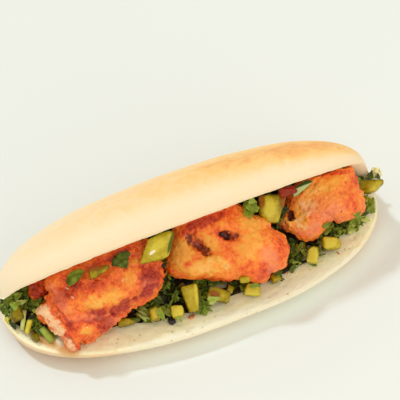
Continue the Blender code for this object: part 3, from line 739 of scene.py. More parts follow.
@dataclass
class Roll:
    """The slit roll, in millimetres: crust outside, crumb on both faces of the mouth."""

    node: Object
    lip_height: float = 18.0  # the crumb of the lower half lies below this
    hinge: float = 28.5  # how far back the mouth reaches, on Y
    swell: float = 0.5  # height of the crust's slow unevenness
    wrinkle: float = 0.06  # height of its fine unevenness
    pore: float = 0.45  # depth of the crumb's pores
    swirl: float = 0.25  # height of the crumb's slow unevenness
    droop: Triple = (0.5, -3.5, -5.5)  # of the upper half's right end

    def build(self) -> None:
        """Mesh, relief, browned and shaded crust, and material of the roll."""
        roll = copied(self.node, "soft_roll", squares=True)
        apply(roll, "SMOOTH", factor=0.5, iterations=3)
        subdivide(roll, 2)
        subdivide(roll, 1)
        skin = Skin(roll)
        crumb = self.crumb(skin)
        crust = self.swell * rough(skin.points, 26, 1.0)
        crust += self.wrinkle * rough(skin.points, 3, 2.0)
        pores = self.pore * np.minimum(0.0, rough(skin.points, 2.1, 3.0, 3) - 0.1)
        lift = crust * (1.0 - crumb) + (pores + self.swirl * rough(skin.points, 7, 4.0)) * crumb
        lift[skin.z < 0.5] = 0.0
        droop = step(78, 91, skin.x) * step(22, 12, skin.y)
        droop *= step(45, 31, skin.z) * step(21, 25, skin.z)
        move_points(roll, skin.raised(lift) + MM * np.outer(droop, self.droop))
        paint(roll, {Mark.CRUMB: crumb, Mark.RED: self.toast(skin),
                     Mark.PALE: self.flour(skin), Mark.GOLD: self.browning(skin)})
        finish(roll, BreadFinish().material(), "bread", "bread")

    def crumb(self, skin: Skin) -> Array:
        """Where the cut crumb shows, from 0 to 1: on the two faces of the mouth."""
        upright = skin.normals[:, 2]
        lower = step(0.35, 0.75, upright) * step(6, 8, skin.z)
        lower *= step(self.lip_height + 1.0, self.lip_height, skin.z)
        upper = step(-0.15, -0.45, upright) * step(13.5, 15, skin.z) * step(91, 82, skin.x)
        inside = step(self.hinge, self.hinge - 2.0, skin.y) * np.maximum(lower, upper)
        return np.clip(inside * (1.0 + 0.25 * rough(skin.points, 4, 5.0)), 0.0, 1.0)

    def browning(self, skin: Skin) -> Array:
        """How brown the crust is, from 0 to about 1: browned towards the crown and on the
        underside, and browner towards the right end, which is painted shade.
        """
        # painted shade: the crust turns browner towards the right end
        back = step(0.25, 1.0, skin.normals @ UPWARDS) * (0.42 + 0.5 * step(-60, 85, skin.x))
        crown = 0.55 + 0.45 * step(34, 62, skin.z)
        under = step(-0.3, -0.9, skin.normals[:, 2]) * step(14, 6, skin.z)
        return back * crown + 0.75 * under + 0.12

    def flour(self, skin: Skin) -> Array:
        """Where a pale band lies along the front edge of the lower half, from 0 to 0.9."""
        places = np.linspace(-100, 100, 51)
        front = [skin.y[(skin.z < 20) & (np.abs(skin.x - place) < 3)].min(initial=40)
                 for place in places]
        depth = skin.y - np.interp(skin.x, places, front) - np.interp(skin.columns, *UNBAKED)
        along = step(105, 135, skin.columns) * step(378, 366, skin.columns)
        return 0.9 * along * step(20, 17, skin.z) * step(2.5, -1.5, depth)

    def toast(self, skin: Skin) -> Array:
        """Where the lower lip is browner, from 0 to about 1: at its left end, in front."""
        upright = skin.normals[:, 2]
        lip = dabbed(LIP_DABS, skin)[0][Mark.RED] * step(-0.7, -0.2, upright)
        side = step(0.5, -0.2, upright) * step(10, -60, skin.x)
        return step(20, 16, skin.z) * step(10, -8, skin.y) * (1.2 * lip + 0.3 * side)


# --- the chicken

@dataclass
class Chicken:
    """One grilled piece, with its fibres, crags, glaze and char."""

    name: str
    node: Object
    seed: float  # moves its patterns
    grain: float  # direction of the fibres in the picture, in degrees
    fibre: float  # height of the fibres, in millimetres
    crag: float  # height of the coarse lumps, in millimetres
    fringe: float  # how ragged its outline is, in millimetres
    red: float  # how far all of it leans to red
    dabs: Dabs

    def build(self, material: Material) -> None:
        """Mesh, relief and patches of the piece.

        Args:
            material: its finish.
        """
        piece = copied(self.node, self.name)
        subdivide(piece, 3)
        skin = Skin(piece)
        points, towards = skin.points, skin.normals @ TOWARDS
        facing = step(-0.6, 0.1, towards)
        far = 1.0 - facing
        ragged = 0.4 * rough(points, 2.4, self.seed + 0.5, 3)
        marks, lift = dabbed(self.dabs, skin, ragged)
        marks = {mark: strength * facing for mark, strength in marks.items()}
        ridges = 1.0 - 3.0 * np.abs(rough(points, 2.8, self.seed + 3.0, 3))
        rim = 1.0 - step(0.0, 0.5, np.abs(towards))
        fibres = self.fibres(points)
        lift += self.crag * (rough(points, 7.5, self.seed, 3) + 0.3 * ridges)
        lift += self.fringe * rim * rough(points, 3.2, self.seed + 4.0, 2)
        lift += self.fibre * fibres * (0.25 + marks[Mark.STRAND] + 0.5 * far)
        move_points(piece, skin.raised(lift))
        marks[Mark.RED] += self.red + far * step(0.1, 0.6, rough(points, 10, self.seed + 7.0))
        marks[Mark.GOLD] += far * step(0.0, 0.5, rough(points, 12, self.seed + 6.0))
        marks[Mark.CHAR] += far * 0.8 * step(0.35, 0.6, rough(points, 8, self.seed + 8.0, 2))
        # painted shade: high in the crevices between ridges and between fibres
        marks[Mark.HOLLOW] = 0.4 - 0.3 * ridges - 0.4 * fibres * marks[Mark.STRAND]
        paint(piece, marks, Mark.GOLD, Mark.RED, Mark.CHAR, Mark.PALE, Mark.PINK, Mark.CRIMSON,
              Mark.HOLLOW)
        finish(piece, material, "chicken", self.node.name)

    def fibres(self, points: Array) -> Array:
        """Fine ridges that run along the grain, five times as long as wide."""
        turn = math.radians(self.grain)
        along = ACROSS * math.cos(turn) + UPWARDS * math.sin(turn)
        aside = UPWARDS * math.cos(turn) - ACROSS * math.sin(turn)
        local = np.stack([points @ along / 5.0, points @ aside, points @ TOWARDS], axis=1)
        return 1.0 - 2.0 * np.abs(rough(local, 1.9, self.seed + 2.0, 2))


# --- pickle, tomato, pepper

@dataclass(frozen=True)
class Cut:
    """One cut piece: which side keeps the skin, and how light the flesh is."""

    node: str
    skin: float | None  # direction of the skin in the picture, in degrees
    shade: float  # from 0, deep, to 1, light
    depth: float = 0.22  # how much of the piece the skin takes
    dabs: Dabs = ()  # places that are lighter, amber, green or raised


PICKLES = [
    Cut("pickle_wedge", None, 0.5, dabs=dabs(
        # the pale dab is a painted highlight
        pale=((152, 252, 5, 2.2, 35),), skin=((170, 243, 2.5, 16, -15, 0.8),),
        shade=((158, 245, 9, 5, 40, 0.3),), form=((165, 234, 12, 4, 15, 0, 1.6),))),
    Cut("pickle_slice", None, 0.2, dabs=dabs(
        shade=((106, 273, 5, 4, -30, 0.45),), red=((96, 267, 12, 3, 15, 0.8),))),
    Cut("pickle_chunk", None, 0.25, dabs=dabs(
        shade=((269, 209, 9, 12, 20, 0.5), (274, 220, 10, 6, 0, 0.3)),
        red=((260, 201, 6, 11, 10), (283, 201, 5, 10, 0, 0.8)),
        skin=((283, 210, 3, 10, 10, 0.45),), form=((262, 212, 8, 8, 0, 0, 1),))),
    Cut("pickle_spear", 0, 0.4, 0.16, dabs(shade=((195, 293, 1.6, 14, 5, 0.45),))),
    Cut("pickle_dice_a", 250, 0.3, 0.12, dabs(
        shade=((222, 287, 9, 3, -15, 0.4),), red=((214, 294, 7, 4, -20, 0.9),))),
    Cut("pickle_dice_b", 180, 0.65, 0.08, dabs(shade=((180, 310, 4, 6, 0, 0.5),))),
    Cut("pickle_dice_c", 120, 0.45, 0.15, dabs(shade=((154, 312, 3, 5, 0, 0.4),))),
    Cut("pickle_dice_d", 60, 0.28, 0.3),
    Cut("pickle_dice_e", 60, 0.7, 0.12),
    Cut("pickle_dice_f", 30, 0.4, 0.2),
    Cut("pickle_dice_g", 120, 0.8, 0.1, dabs(shade=((313, 258, 4, 5, 0, 0.45),))),
    Cut("pickle_dice_h", 235, 0.55, 0.2, dabs(shade=((331, 243, 6, 5, 20, 0.5),))),
    Cut("pickle_left_a", 150, 0.05, 0.3),
    Cut("pickle_left_b", 100, 0.75, 0.1),
    Cut("pickle_end", None, 0.22, dabs=dabs(
        shade=((377, 188, 9, 7, 0, 0.4),), form=((373, 192, 9, 6, 0, 0, 1.2),))),
]
# Each finish with the number of its first pattern and its pieces.
CUTS = (
    (PickleFinish(), 0, PICKLES),
    (PickleFinish("tomato", "8e2812", "aa4a30", "68120a", "8c1410"), 21,
     [Cut("tomato_piece", 90, 0.4, 0.3)]),
    (PickleFinish("pepper", "a9b871", "cfd6a0", "7f9446", "35501c"), 22,
     [Cut("pepper_strip", 110, 0.5, 0.35)]),
)


@dataclass
class CutPieces:
    """All the cut pieces that lie in the mouth."""

    nodes: dict[str, Object]

    def build(self) -> None:
        """Dress the pickles, the tomato and the pepper."""
        for look, first, cuts in CUTS:
            material = look.material()
            for order, cut in enumerate(cuts, first):
                finish(self.rounded(cut, order), material, look.name, cut.node)

    def rounded(self, cut: Cut, order: int) -> Object:
        """A cut piece with soft edges and slightly hollow faces.

        Args:
            cut: what it is.
            order: moves its patterns.

        Returns:
            The piece, still without a finish.
        """
        piece = copied(self.nodes[cut.node], f"cut_{cut.node}", squares=True)
        subdivide(piece, 4)
        skin = Skin(piece)
        marks, swell = dabbed(cut.dabs, skin)
        lift = 0.3 * rough(skin.points, 4, order, 2)
        lift += 0.08 * rough(skin.points, 1.3, order + 9.0)
        points = skin.raised(lift)
        offset = points - 0.5 * (points.min(axis=0) + points.max(axis=0))
        across, up = np.abs(offset @ ACROSS), np.abs(offset @ UPWARDS)
        rim = np.maximum(across / across.max(), up / up.max())
        facing = np.clip(skin.normals @ TOWARDS, 0.0, 1.0)
        points = skin.raised(lift + swell)
        move_points(piece, points)
        # painted light and shade: lighter in the middle of faces turned to the eye, as light
        # through the flesh, and darker on faces turned away
        marks[Mark.SHADE] += cut.shade + 0.2 * (1.0 - rim ** 2) * facing - 0.3 * (1.0 - facing)
        marks[Mark.SHADE] -= 0.3 * marks[Mark.RED]
        if cut.skin is not None:
            turn = math.radians(cut.skin)
            height = points @ (ACROSS * math.cos(turn) + UPWARDS * math.sin(turn))
            share = (height - height.min()) / (height.max() - height.min())
            side = step(1.0 - 1.4 * cut.depth, 1.0 - 0.6 * cut.depth, share)
            marks[Mark.SKIN] = np.maximum(marks[Mark.SKIN], side)
        paint(piece, marks, Mark.SHADE, Mark.SKIN, Mark.PALE, Mark.RED)
        return piece


# --- leaves, stems, crumbs

class Kind(Enum):
    """The small things that lie in the mouth and on the bread."""

    LEAF = "leaf"
    CURL = "curl"
    SHRED = "shred"
    STEM = "stem"
    DICE = "dice"
    CRUMB = "crumb"
    CINDER = "cinder"
    FLORET = "floret"


LEAF, CURL, SHRED, STEM, DICE, CRUMB, CINDER, FLORET = Kind
LEAFY = (LEAF, CURL, SHRED)
# Width and height of a bit for a length of 1.
WIDTHS = {LEAF: (0.85, 0.9), CURL: (0.8, 0.9), SHRED: (0.5, 0.7), STEM: (0.2, 0.2),
          DICE: (0.8, 0.7), CRUMB: (0.8, 0.6), CINDER: (0.8, 0.8)}


@dataclass(frozen=True)
class Bit:
    """One small thing: its kind, place, axes, size and shade."""

    kind: Kind
    place: Vector
    axes: Matrix
    size: Triple
    shade: float


class Models:
    """One small model of each kind, modelled once and copied."""

    def __init__(self) -> None:
        """Model every kind."""
        self.shapes: dict[Kind, Shape] = {
            LEAF: self.leaf(3.0, 0.3, 0.4, 0.35),
            CURL: self.leaf(5.0, 0.3, 1.0, 0.6),
            SHRED: self.leaf(0.0, 0.0, 0.6, 0.5),
            STEM: self.stem(),
            DICE: self.lump(1, 0.12, cube=True),
            CRUMB: self.lump(2, 0.25, cube=False),
            CINDER: self.lump(1, 0.3, cube=True),
            FLORET: self.lump(2, 0.35, cube=False),
        }
        self.tones = {kind: self.tone(kind, points) for kind, (points, _) in self.shapes.items()}

    @staticmethod
    def tone(kind: Kind, points: Array) -> Array:
        """How much lighter or darker than the shade a kind is.

        Args:
            kind: what it is.
            points: of its model.

        Returns:
            One number a point: leaves are darker along the middle and lighter towards the edges;
                the cut ends of stems are lighter, with the hollow hub painted dark as the shade
                inside it.
        """
        if kind in LEAFY:
            return 0.5 * np.abs(points[:, 1]) - 0.1
        if kind is STEM:
            ends = np.abs(points[:, 0]) > 0.3
            hub = np.hypot(points[:, 1], points[:, 2] - points[:, 2].mean()) < 0.1
            # painted shade inside the hollow end of a stem
            return 0.15 * ends - 0.6 * (ends & hub)
        return np.zeros(len(points))

    @staticmethod
    def _taken(obj: Object) -> Shape:
        """A model's points and faces; its object is removed."""
        shape = points_of(obj), [tuple(face.vertices) for face in obj.data.polygons]
        bpy.data.objects.remove(obj, do_unlink=True)
        return shape

    def leaf(self, lobes: float, depth: float, curl: float, fold: float) -> Shape:
        """A lobed, toothed bit of leaf of unit length.

        Args:
            lobes: how many lobes it has.
            depth: how deep the notches between them are.
            curl: how strongly it bends along its length.
            fold: how strongly it is folded along its vein.

        Returns:
            Points and faces.
        """
        bpy.ops.object.select_all(action="DESELECT")
        bpy.ops.mesh.primitive_circle_add(vertices=22, radius=0.5, fill_type="TRIFAN")
        blade = bpy.context.object
        bpy.ops.object.mode_set(mode="EDIT")
        bpy.ops.mesh.select_all(action="SELECT")
        bpy.ops.mesh.subdivide(number_cuts=1)
        bpy.ops.object.mode_set(mode="OBJECT")
        points = points_of(blade)
        angle = np.arctan2(points[:, 1], points[:, 0])
        reach = 2.0 * np.hypot(points[:, 0], points[:, 1])
        lobed = depth * reach * (0.5 - 0.5 * np.cos(lobes * angle))
        points[:, :2] *= (1.0 - lobed - 0.06 * reach * np.cos(11.0 * angle))[:, None]
        points[:, 1] *= 1.0 - 0.8 * points[:, 0]
        x, y = points[:, 0], points[:, 1]
        points[:, 2] = curl * x * x + fold * np.abs(y) * (0.6 + 0.6 * np.sin(5.0 * x))
        points[:, 2] += 0.07 * reach * np.cos(5 * angle)
        move_points(blade, points)
        apply(blade, "SOLIDIFY", thickness=0.06, offset=0.0)
        return self._taken(blade)

    def stem(self) -> Shape:
        """A cut stem of unit length, lightly bent, with a hollowed end."""
        bpy.ops.object.select_all(action="DESELECT")
        bpy.ops.mesh.primitive_cylinder_add(vertices=10, radius=0.5, depth=1.0,
                                            end_fill_type="TRIFAN",
                                            rotation=(0.0, 0.5 * math.pi, 0.0))
        tube = bpy.context.object
        bpy.ops.object.transform_apply(location=True, rotation=True, scale=True)
        bpy.ops.object.mode_set(mode="EDIT")
        for place in (-0.17, 0.17):
            bpy.ops.mesh.select_all(action="SELECT")
            bpy.ops.mesh.bisect(plane_co=(place, 0.0, 0.0), plane_no=(1.0, 0.0, 0.0))
        bpy.ops.object.mode_set(mode="OBJECT")
        points = points_of(tube)
        points[np.hypot(points[:, 1], points[:, 2]) < 0.1, 0] *= 0.75
        points[:, 2] += 0.35 * np.cos(points[:, 0] * math.pi)
        points[:, 1:] *= 1.0 - 0.12 * np.abs(points[:, :1])
        move_points(tube, points)
        return self._taken(tube)

    def lump(self, levels: int, uneven: float, cube: bool) -> Shape:
        """A rounded uneven dice or crumb of unit size.

        Args:
            levels: how finely a crumb is divided.
            uneven: how uneven it is.
            cube: whether it starts as a cut cube.

        Returns:
            Points and faces.
        """
        bpy.ops.object.select_all(action="DESELECT")
        if cube:
            bpy.ops.mesh.primitive_cube_add(size=1.0)
            apply(bpy.context.object, "BEVEL", width=0.12, segments=1, limit_method="NONE")
        else:
            bpy.ops.mesh.primitive_ico_sphere_add(subdivisions=levels, radius=0.5)
        lump = bpy.context.object
        points = points_of(lump)
        move_points(lump, points * (1.0 + uneven * rough(points, 0.55 / MM, 4.0)[:, None]))
        return self._taken(lump)

    def joined(self, name: str, bits: list[Bit], material: Material, slot: str) -> None:
        """Add many bits as one piece.

        Args:
            name: of the piece.
            bits: what it is made of.
            material: its finish.
            slot: handed on to finish.
        """
        places, faces, shades, start = [], [], [], 0
        for bit in bits:
            points, corners = self.shapes[bit.kind]
            places.append((points * np.array(bit.size)) @ np.array(bit.axes).T
                          + np.array(bit.place))
            faces += [tuple(start + index for index in face) for face in corners]
            shades.append(bit.shade + self.tones[bit.kind])
            start += len(points)
        if bits:
            obj = made(name, np.concatenate(places).tolist(), faces)
            paint(obj, {Mark.SHADE: np.concatenate(shades)})
            finish(obj, material, slot)


def make_bit(kind: Kind, place: Vector, facing: Vector, size: float, shade: float,
             rng: random.Random) -> Bit:
    """A bit of a kind with its own turn and tilt.

    Args:
        kind: what it is.
        place: where it lies.
        facing: the normal of what it lies on.
        size: its length.
        shade: its shade.
        rng: the source of chance.

    Returns:
        The bit.
    """
    width, height = WIDTHS[kind]
    tilt = Vector([rng.uniform(-0.7, 0.7) for _ in range(3)]) + OUT * 0.5
    uneven = rng.uniform(0.8, 1.15)
    turn = Matrix.Rotation(rng.uniform(0.0, math.tau), 3, "Z")
    axes = (facing + tilt).to_track_quat("Z", "Y").to_matrix() @ turn
    return Bit(kind, place, axes, (size, size * width * uneven, size * height), shade)


@dataclass(frozen=True)
class Patch:
    """A place in the picture where small things lie."""

    kind: Kind
    column: float  # of its middle
    row: float
    wide: float  # half its length, in picture points
    high: float  # half its width
    turn: float  # degrees, anticlockwise
    count: int
    size: tuple[float, float]  # shortest and longest bit, in millimetres
    shade: tuple[float, float]  # darkest and lightest
    lift: float = 0.6  # how far they stand off what is under them, in millimetres

    def bits(self, ground: Ground, rng: random.Random) -> list[Bit]:
        """The bits, each laid on what shows there.

        Args:
            ground: what they may lie on.
            rng: the source of chance.

        Returns:
            Those that find the greens or the bread under them.
        """
        bits: list[Bit] = []
        turn = math.radians(self.turn)
        shortest, longest = (MM * size for size in self.size)
        for _ in range(self.count):
            reach, angle = math.sqrt(rng.random()), rng.uniform(0.0, math.tau)
            across = self.wide * reach * math.cos(angle)
            up = self.high * reach * math.sin(angle)
            found = ground.under(self.column + across * math.cos(turn) - up * math.sin(turn),
                                 self.row - across * math.sin(turn) - up * math.cos(turn))
            if found is None or found[2] not in ("salad", "bread"):
                continue
            size = rng.uniform(shortest, longest)
            place = found[0] + found[1] * (MM * self.lift)
            shade = rng.uniform(*self.shade)
            bits.append(make_bit(self.kind, place, found[1], size, shade, rng))
        return bits


@dataclass(frozen=True)
class Laid:
    """One bit that lies from one place in the picture to another."""

    kind: Kind
    column: float  # where it starts
    row: float
    to_column: float  # where it ends
    to_row: float
    wide: float  # its width, in millimetres
    shade: float  # from dark to light
    lift: float = 1.6  # how far it stands off what is under it, in millimetres

    def bit(self, ground: Ground) -> Bit | None:
        """The bit, laid on what shows there or sticking out from it.

        Args:
            ground: what it may lie on.

        Returns:
            The bit, or None where it would hang in the air or on the upper half.
        """
        start = ground.under(self.column, self.row)
        end = ground.under(self.to_column, self.to_row)
        middle = ground.under(0.5 * (self.column + self.to_column), 0.5 * (self.row + self.to_row))
        way = RIGHT * (self.to_column - self.column) - UP * (self.to_row - self.row)
        if None in (end, middle) and start is not None:
            middle = (start[0] + way * (0.5 / VIEW.scale), OUT, start[2])
            end = (start[0] + way / VIEW.scale, OUT, start[2])
        if start is None or (middle[2] == "bread" and middle[0].z > 25 * MM):
            return None
        length = way.length / VIEW.scale * 0.95
        along = (way.normalized() * 3.0 + (end[0] - start[0]).normalized()).normalized()
        aside = (OUT * 1.5 + middle[1]).normalized().cross(along).normalized()
        axes = Matrix((along, aside, along.cross(aside))).transposed()
        wide = self.wide * MM
        thick = wide if self.kind in (STEM, DICE) else length * WIDTHS[self.kind][1] * 0.6
        place = middle[0] + OUT * (self.lift * MM)
        return Bit(self.kind, place, axes, (length, wide, thick), self.shade)


# The bits that can be told apart, from the left end to the right end.
LAID = [Laid(*row) for row in (
    (LEAF, 0, 298, 8, 314, 5.5, 0.3), (SHRED, 7, 300, 22, 291, 4, 0.5),
    (LEAF, 10, 306, 20, 300, 4.6, 0.55), (SHRED, 28, 289, 21, 315, 2.4, 0.25, 2.6),
    (SHRED, 24, 291, 19, 313, 1.3, 0.6, 2.8), (LEAF, 30, 292, 25, 304, 4, 0.2),
    (STEM, 24.5, 308, 22, 328, 2.2, 0.85, 2.4), (STEM, 41, 326, 52, 340, 3.6, 0.45, 1.6),
    (SHRED, 46, 326, 56, 336, 2.6, 0.35, 1), (SHRED, 34, 325, 43, 334, 2.4, 0.3, 0.8),
    (DICE, 5, 316, 12, 321, 2.6, 0.75, 0.8), (STEM, 136, 308, 149, 317, 1.5, 0.8, 2.4),
    (STEM, 135, 312, 146, 320, 1.4, 0.6, 2.2), (STEM, 140, 305, 153, 314, 1.4, 0.8, 2.4),
    (STEM, 138, 315, 151, 318, 1.3, 0.65, 2.4), (SHRED, 142, 319, 153, 321, 2.4, 0.35, 0.8),
    (SHRED, 137, 307, 150, 316, 3.4, 0.7, 2.6), (SHRED, 14, 302, 27, 298, 2.4, 0.9, 3),
    (SHRED, 157, 307, 163, 321, 2.6, 0.55), (LEAF, 153, 297, 163, 303, 4, 0.2),
    (STEM, 174, 294, 167.5, 307, 1.3, 0.4, 2.2), (SHRED, 177, 290, 171, 300, 2, 0.3, 2),
    (SHRED, 164, 309, 172, 317, 2.8, 0.75), (SHRED, 175, 312, 181, 322, 1.8, 0.65, 1),
    (CURL, 198, 302, 211, 306, 4, 0.5, 1.2), (LEAF, 205, 302, 220, 297, 4, 0.8, 0.8),
    (SHRED, 200, 296, 204, 307, 1.8, 0.6, 2), (LEAF, 205, 282, 223, 283, 4, 0.35, 1),
    (CURL, 226, 284, 239, 287, 4.5, 0.15, 1), (SHRED, 249, 287, 259, 285, 2.4, 0.5, 2.6),
    (DICE, 239, 280, 249, 279, 3, 0.5, 0.8), (LEAF, 272, 276, 282, 272, 3.2, 0.25, 1.4),
    (SHRED, 299, 247, 306, 260, 1.6, 0.75, 2.4), (SHRED, 303, 250, 310, 257, 1.4, 0.8, 2.2),
    (SHRED, 303, 243, 296, 251, 1.8, 0.45, 2), (LEAF, 288, 258, 300, 264, 5, 0.3, 1.6),
    (LEAF, 290, 266, 301, 264, 3.4, 0.75, 1.2), (CURL, 288, 247, 297, 254, 4.5, 0.12, 1.4),
    (LEAF, 320, 236, 334, 226, 3.6, 0.6, 2), (LEAF, 330, 234, 341, 229, 3.4, 0.45, 2),
    (CURL, 337, 231, 348, 225, 4, 0.25, 1.6), (LEAF, 344, 232, 360, 228, 5, 0.85, 1.2),
    (LEAF, 347, 224, 357, 230, 4, 0.7, 2.2), (SHRED, 333, 238, 341, 233, 2, 0.65, 4.6),
    (SHRED, 322, 229, 331, 223, 2, 0.4, 1.4), (SHRED, 354, 216, 370, 223.5, 3.6, 0.95, 1.8),
    (LEAF, 353, 219, 361, 213, 3.4, 0.45, 1.4), (LEAF, 355, 179, 361, 187, 3.4, 0.4, 2),
    (STEM, 374, 181, 376, 175, 1.2, 0.9, 0.4), (LEAF, 369, 181, 372, 172, 3.2, 0.12, 3.4),
    (LEAF, 377, 182, 378, 175, 2.8, 0.15, 3.2), (LEAF, 247, 200, 257, 203, 3.6, 0.6, 2.4),
    (SHRED, 246, 205, 253, 213, 2.6, 0.5, 2.4),
)]
# Heaps of small things that show in the mouth: very dark leaves that paint the shade in the gaps,
# chopped greens along the front, tufts under the lip and at both ends.
PATCHES = [Patch(*row) for row in (
    (CURL, 163, 290, 12, 11, 50, 9, (4.5, 7), (-0.3, 0)),
    (LEAF, 158, 298, 12, 8, 40, 5, (5, 7), (-0.2, 0.1)),
    (SHRED, 152, 313, 20, 5, 5, 14, (4, 6.5), (0.3, 0.8)),
    (CURL, 207, 300, 11, 6, 15, 6, (4.5, 6), (0, 0.4)),
    (CURL, 228, 286, 14, 5, 20, 5, (4.5, 6), (0, 0.2)),
    (CURL, 296, 255, 11, 9, 60, 9, (5, 7), (0, 0.35)),
    (CURL, 345, 228, 22, 5, 28, 9, (4.5, 6.5), (0, 0.5)),
    (SHRED, 346, 226, 22, 6, 28, 16, (5, 7), (0.3, 0.9)),
    (CURL, 249, 207, 7, 5, 20, 5, (4, 5), (0.2, 0.5)),
    (CURL, 366, 180, 6, 4, 0, 6, (3.5, 5), (0.1, 0.4), 2),
    (CURL, 12, 301, 11, 6, 15, 8, (4.5, 6.5), (0, 0.4)),
    (SHRED, 26, 305, 9, 9, 60, 7, (5, 8), (0, 0.5)),
    (SHRED, 40, 326, 9, 4, -35, 5, (4, 6), (0.2, 0.6), 0.3),
    (DICE, 298, 250, 6, 6, 25, 3, (3, 4), (0.1, 0.4)),
    (DICE, 163, 311, 8, 3, 15, 3, (2.6, 3.6), (0.4, 0.7)),
    (DICE, 18, 310, 10, 6, 10, 4, (3.5, 5), (0.1, 0.4)),
    (CINDER, 171, 322, 1.5, 3.5, 0, 3, (2.6, 3.6), (0.3, 0.6), 1.2),
    (CINDER, 163, 268, 3, 4, 0, 3, (2.2, 3.2), (0.3, 0.6)),
    (CINDER, 31, 314, 2, 3, 0, 2, (2, 3), (0.3, 0.6)),
    (CINDER, 275, 231, 3, 3, -40, 3, (2.2, 3.2), (0.3, 0.6)),
)]
# How many bits lie all over the heap, for each kind.
SPREAD = {CURL: 60, LEAF: 45, SHRED: 60, STEM: 14, DICE: 10}


@dataclass
class Heap:
    """The chopped greens: a dark core, painted as the shade between them, and the real things on
    it.
    """

    nodes: dict[str, Object]
    ground: Ground

    def build(self, models: Models) -> None:
        """Make the core, the greens, the stems, the dice, the floret and the cinders.

        Args:
            models: what the bits are copied from.
        """
        rng = random.Random(SEED)
        core = copied(self.nodes["salad"], "greens_core")
        apply(core, "REMESH", mode="VOXEL", voxel_size=0.8 * MM)
        apply(core, "SMOOTH", factor=0.8, iterations=10)
        skin = Skin(core)
        move_points(core, skin.raised(0.5 * rough(skin.points, 4, 1.0, 2) - 0.5))
        paint(core, {Mark.SHADE: 0.2 + 0.3 * rough(skin.points, 4, 2.0, 2)})
        # painted shade: the dark core stands for the shade in the gaps between the greens
        deep = GreensFinish("deep_greens", 0.6, ((0.0, "1a1204"), (0.4, "352a0a"),
                                                 (0.7, "504c12"), (1.0, "6c6a1c")))
        finish(core, deep.material(), "greens", "salad")
        bits = self.strewn(rng)
        for patch in PATCHES:
            bits += patch.bits(self.ground, rng)
        bits += [bit for bit in (laid.bit(self.ground) for laid in LAID) if bit is not None]
        bits += self.floret()
        stems = GreensFinish("stems", 0.3, ((0.0, "6a7c1c"), (0.5, "9cac40"), (1.0, "d0d484")))
        for name, kinds, look, slot in (
            ("chopped_leaves", LEAFY, GreensFinish(), "greens"),
            ("chopped_stems", (STEM,), stems, "greens"),
            ("small_dice", (DICE,), PickleFinish("small_pickle"), "pickle"),
            ("floret", (FLORET,), PlainFinish("floret", "cfc070", "f4eab0", 0.6, 1.0), "greens"),
            ("cinders", (CINDER,), PlainFinish("cinder", "120b0c", "2c1a16", 0.45), "chicken"),
        ):
            chosen = [bit for bit in bits if bit.kind in kinds]
            models.joined(name, chosen, look.material(), slot)

    def floret(self) -> list[Bit]:
        """The lumps of the cream floret that sticks up behind the pickle at the right end."""
        rng = random.Random(SEED + 1)
        foot = self.ground.under(374, 182)
        if foot is None:
            return []
        middle = foot[0] + (RIGHT * 2.5 + UP * 7.0) / VIEW.scale
        bits: list[Bit] = []
        for _ in range(20):
            aside, up, out = (rng.uniform(-1.8, 1.8) * MM for _ in range(3))
            size = rng.uniform(1.7, 2.7) * MM
            place = middle + RIGHT * aside + UP * up + OUT * out
            bits.append(Bit(FLORET, place, Matrix.Identity(3), (size, size, size),
                            rng.uniform(0.3, 1.0)))
        return bits

    def strewn(self, rng: random.Random) -> list[Bit]:
        """Bits all over the heap, where they show from some side.

        Args:
            rng: the source of chance.

        Returns:
            The bits.
        """
        salad = self.nodes["salad"].data
        faces = list(salad.polygons)
        areas = [face.area for face in faces]
        ways = (OUT, Vector((0.0, -0.9, 0.35)), Vector((-0.9, -0.3, 0.3)), Vector((0.9, -0.3, 0.3)))
        bits: list[Bit] = []
        for kind, wanted in SPREAD.items():
            made_so_far, tries = 0, 0
            while made_so_far < wanted and tries < 30 * wanted:
                tries += 1
                by_area = tries % 40 == 1
                face = rng.choices(faces, areas)[0] if by_area else faces[rng.randrange(len(faces))]
                if rng.random() > min(1.0, face.area / (3.0 * MM * MM)):
                    continue
                shares = [rng.random() for _ in face.vertices]
                corners = (salad.vertices[index].co for index in face.vertices)
                place = sum((corner * share for corner, share in zip(corners, shares)),
                            Vector()) / sum(shares)
                if not any(face.normal.dot(way) > 0.0 and not self.ground.hidden(place, way)
                           for way in ways):
                    continue
                made_so_far += 1
                size = rng.uniform(4.5, 7.5) * MM * (0.6 if kind is DICE else 1.0)
                shade = rng.choice((0.05, 0.15, 0.3, 0.45, 0.6)) + rng.uniform(-0.1, 0.1)
                bits.append(make_bit(kind, place + face.normal * 0.5 * MM, face.normal.copy(),
                                     size, shade, rng))
        return bits


# The loose leaves that lie on the filling, and how light each is.
LOOSE = {"parsley_leaf_a": 0.34, "parsley_leaf_b": 0.12, "parsley_leaf_c": 0.55,
         "parsley_leaf_d": 0.5}


@dataclass
class Leaves:
    """The loose parsley leaves, one for each frame node."""

    nodes: dict[str, Object]

    def build(self) -> None:
        """Round, tooth and vein each leaf."""
        material = GreensFinish("parsley_leaf", 0.3).material()
        for order, (name, shade) in enumerate(LOOSE.items()):
            leaf = copied(self.nodes[name], f"loose_{name}", squares=True)
            subdivide(leaf, 2)
            points = points_of(leaf)
            middle = points.mean(axis=0)
            points += np.outer(0.55 * MM * rough(points, 2.8, order, 2), TOWARDS)
            across, up = (points - middle) @ ACROSS, (points - middle) @ UPWARDS
            angle = np.arctan2(up, across)
            teeth = 0.09 * np.cos((angle + order) * 12.0) + 0.16 * np.cos((angle + order) * 3.0)
            reach = np.hypot(across, up) / np.hypot(across, up).max()
            points += (points - middle) * (teeth * step(0.4, 0.9, reach))[:, None]
            move_points(leaf, points)
            vein = step(0.12, 0.0, np.abs(np.sin(angle * 2.5 + order))) * step(0.95, 0.3, reach)
            mottle = 0.25 * rough(points, 3, order + 5.0)
            paint(leaf, {Mark.SHADE: shade + 0.3 * vein + mottle})
            finish(leaf, material, "greens", name)


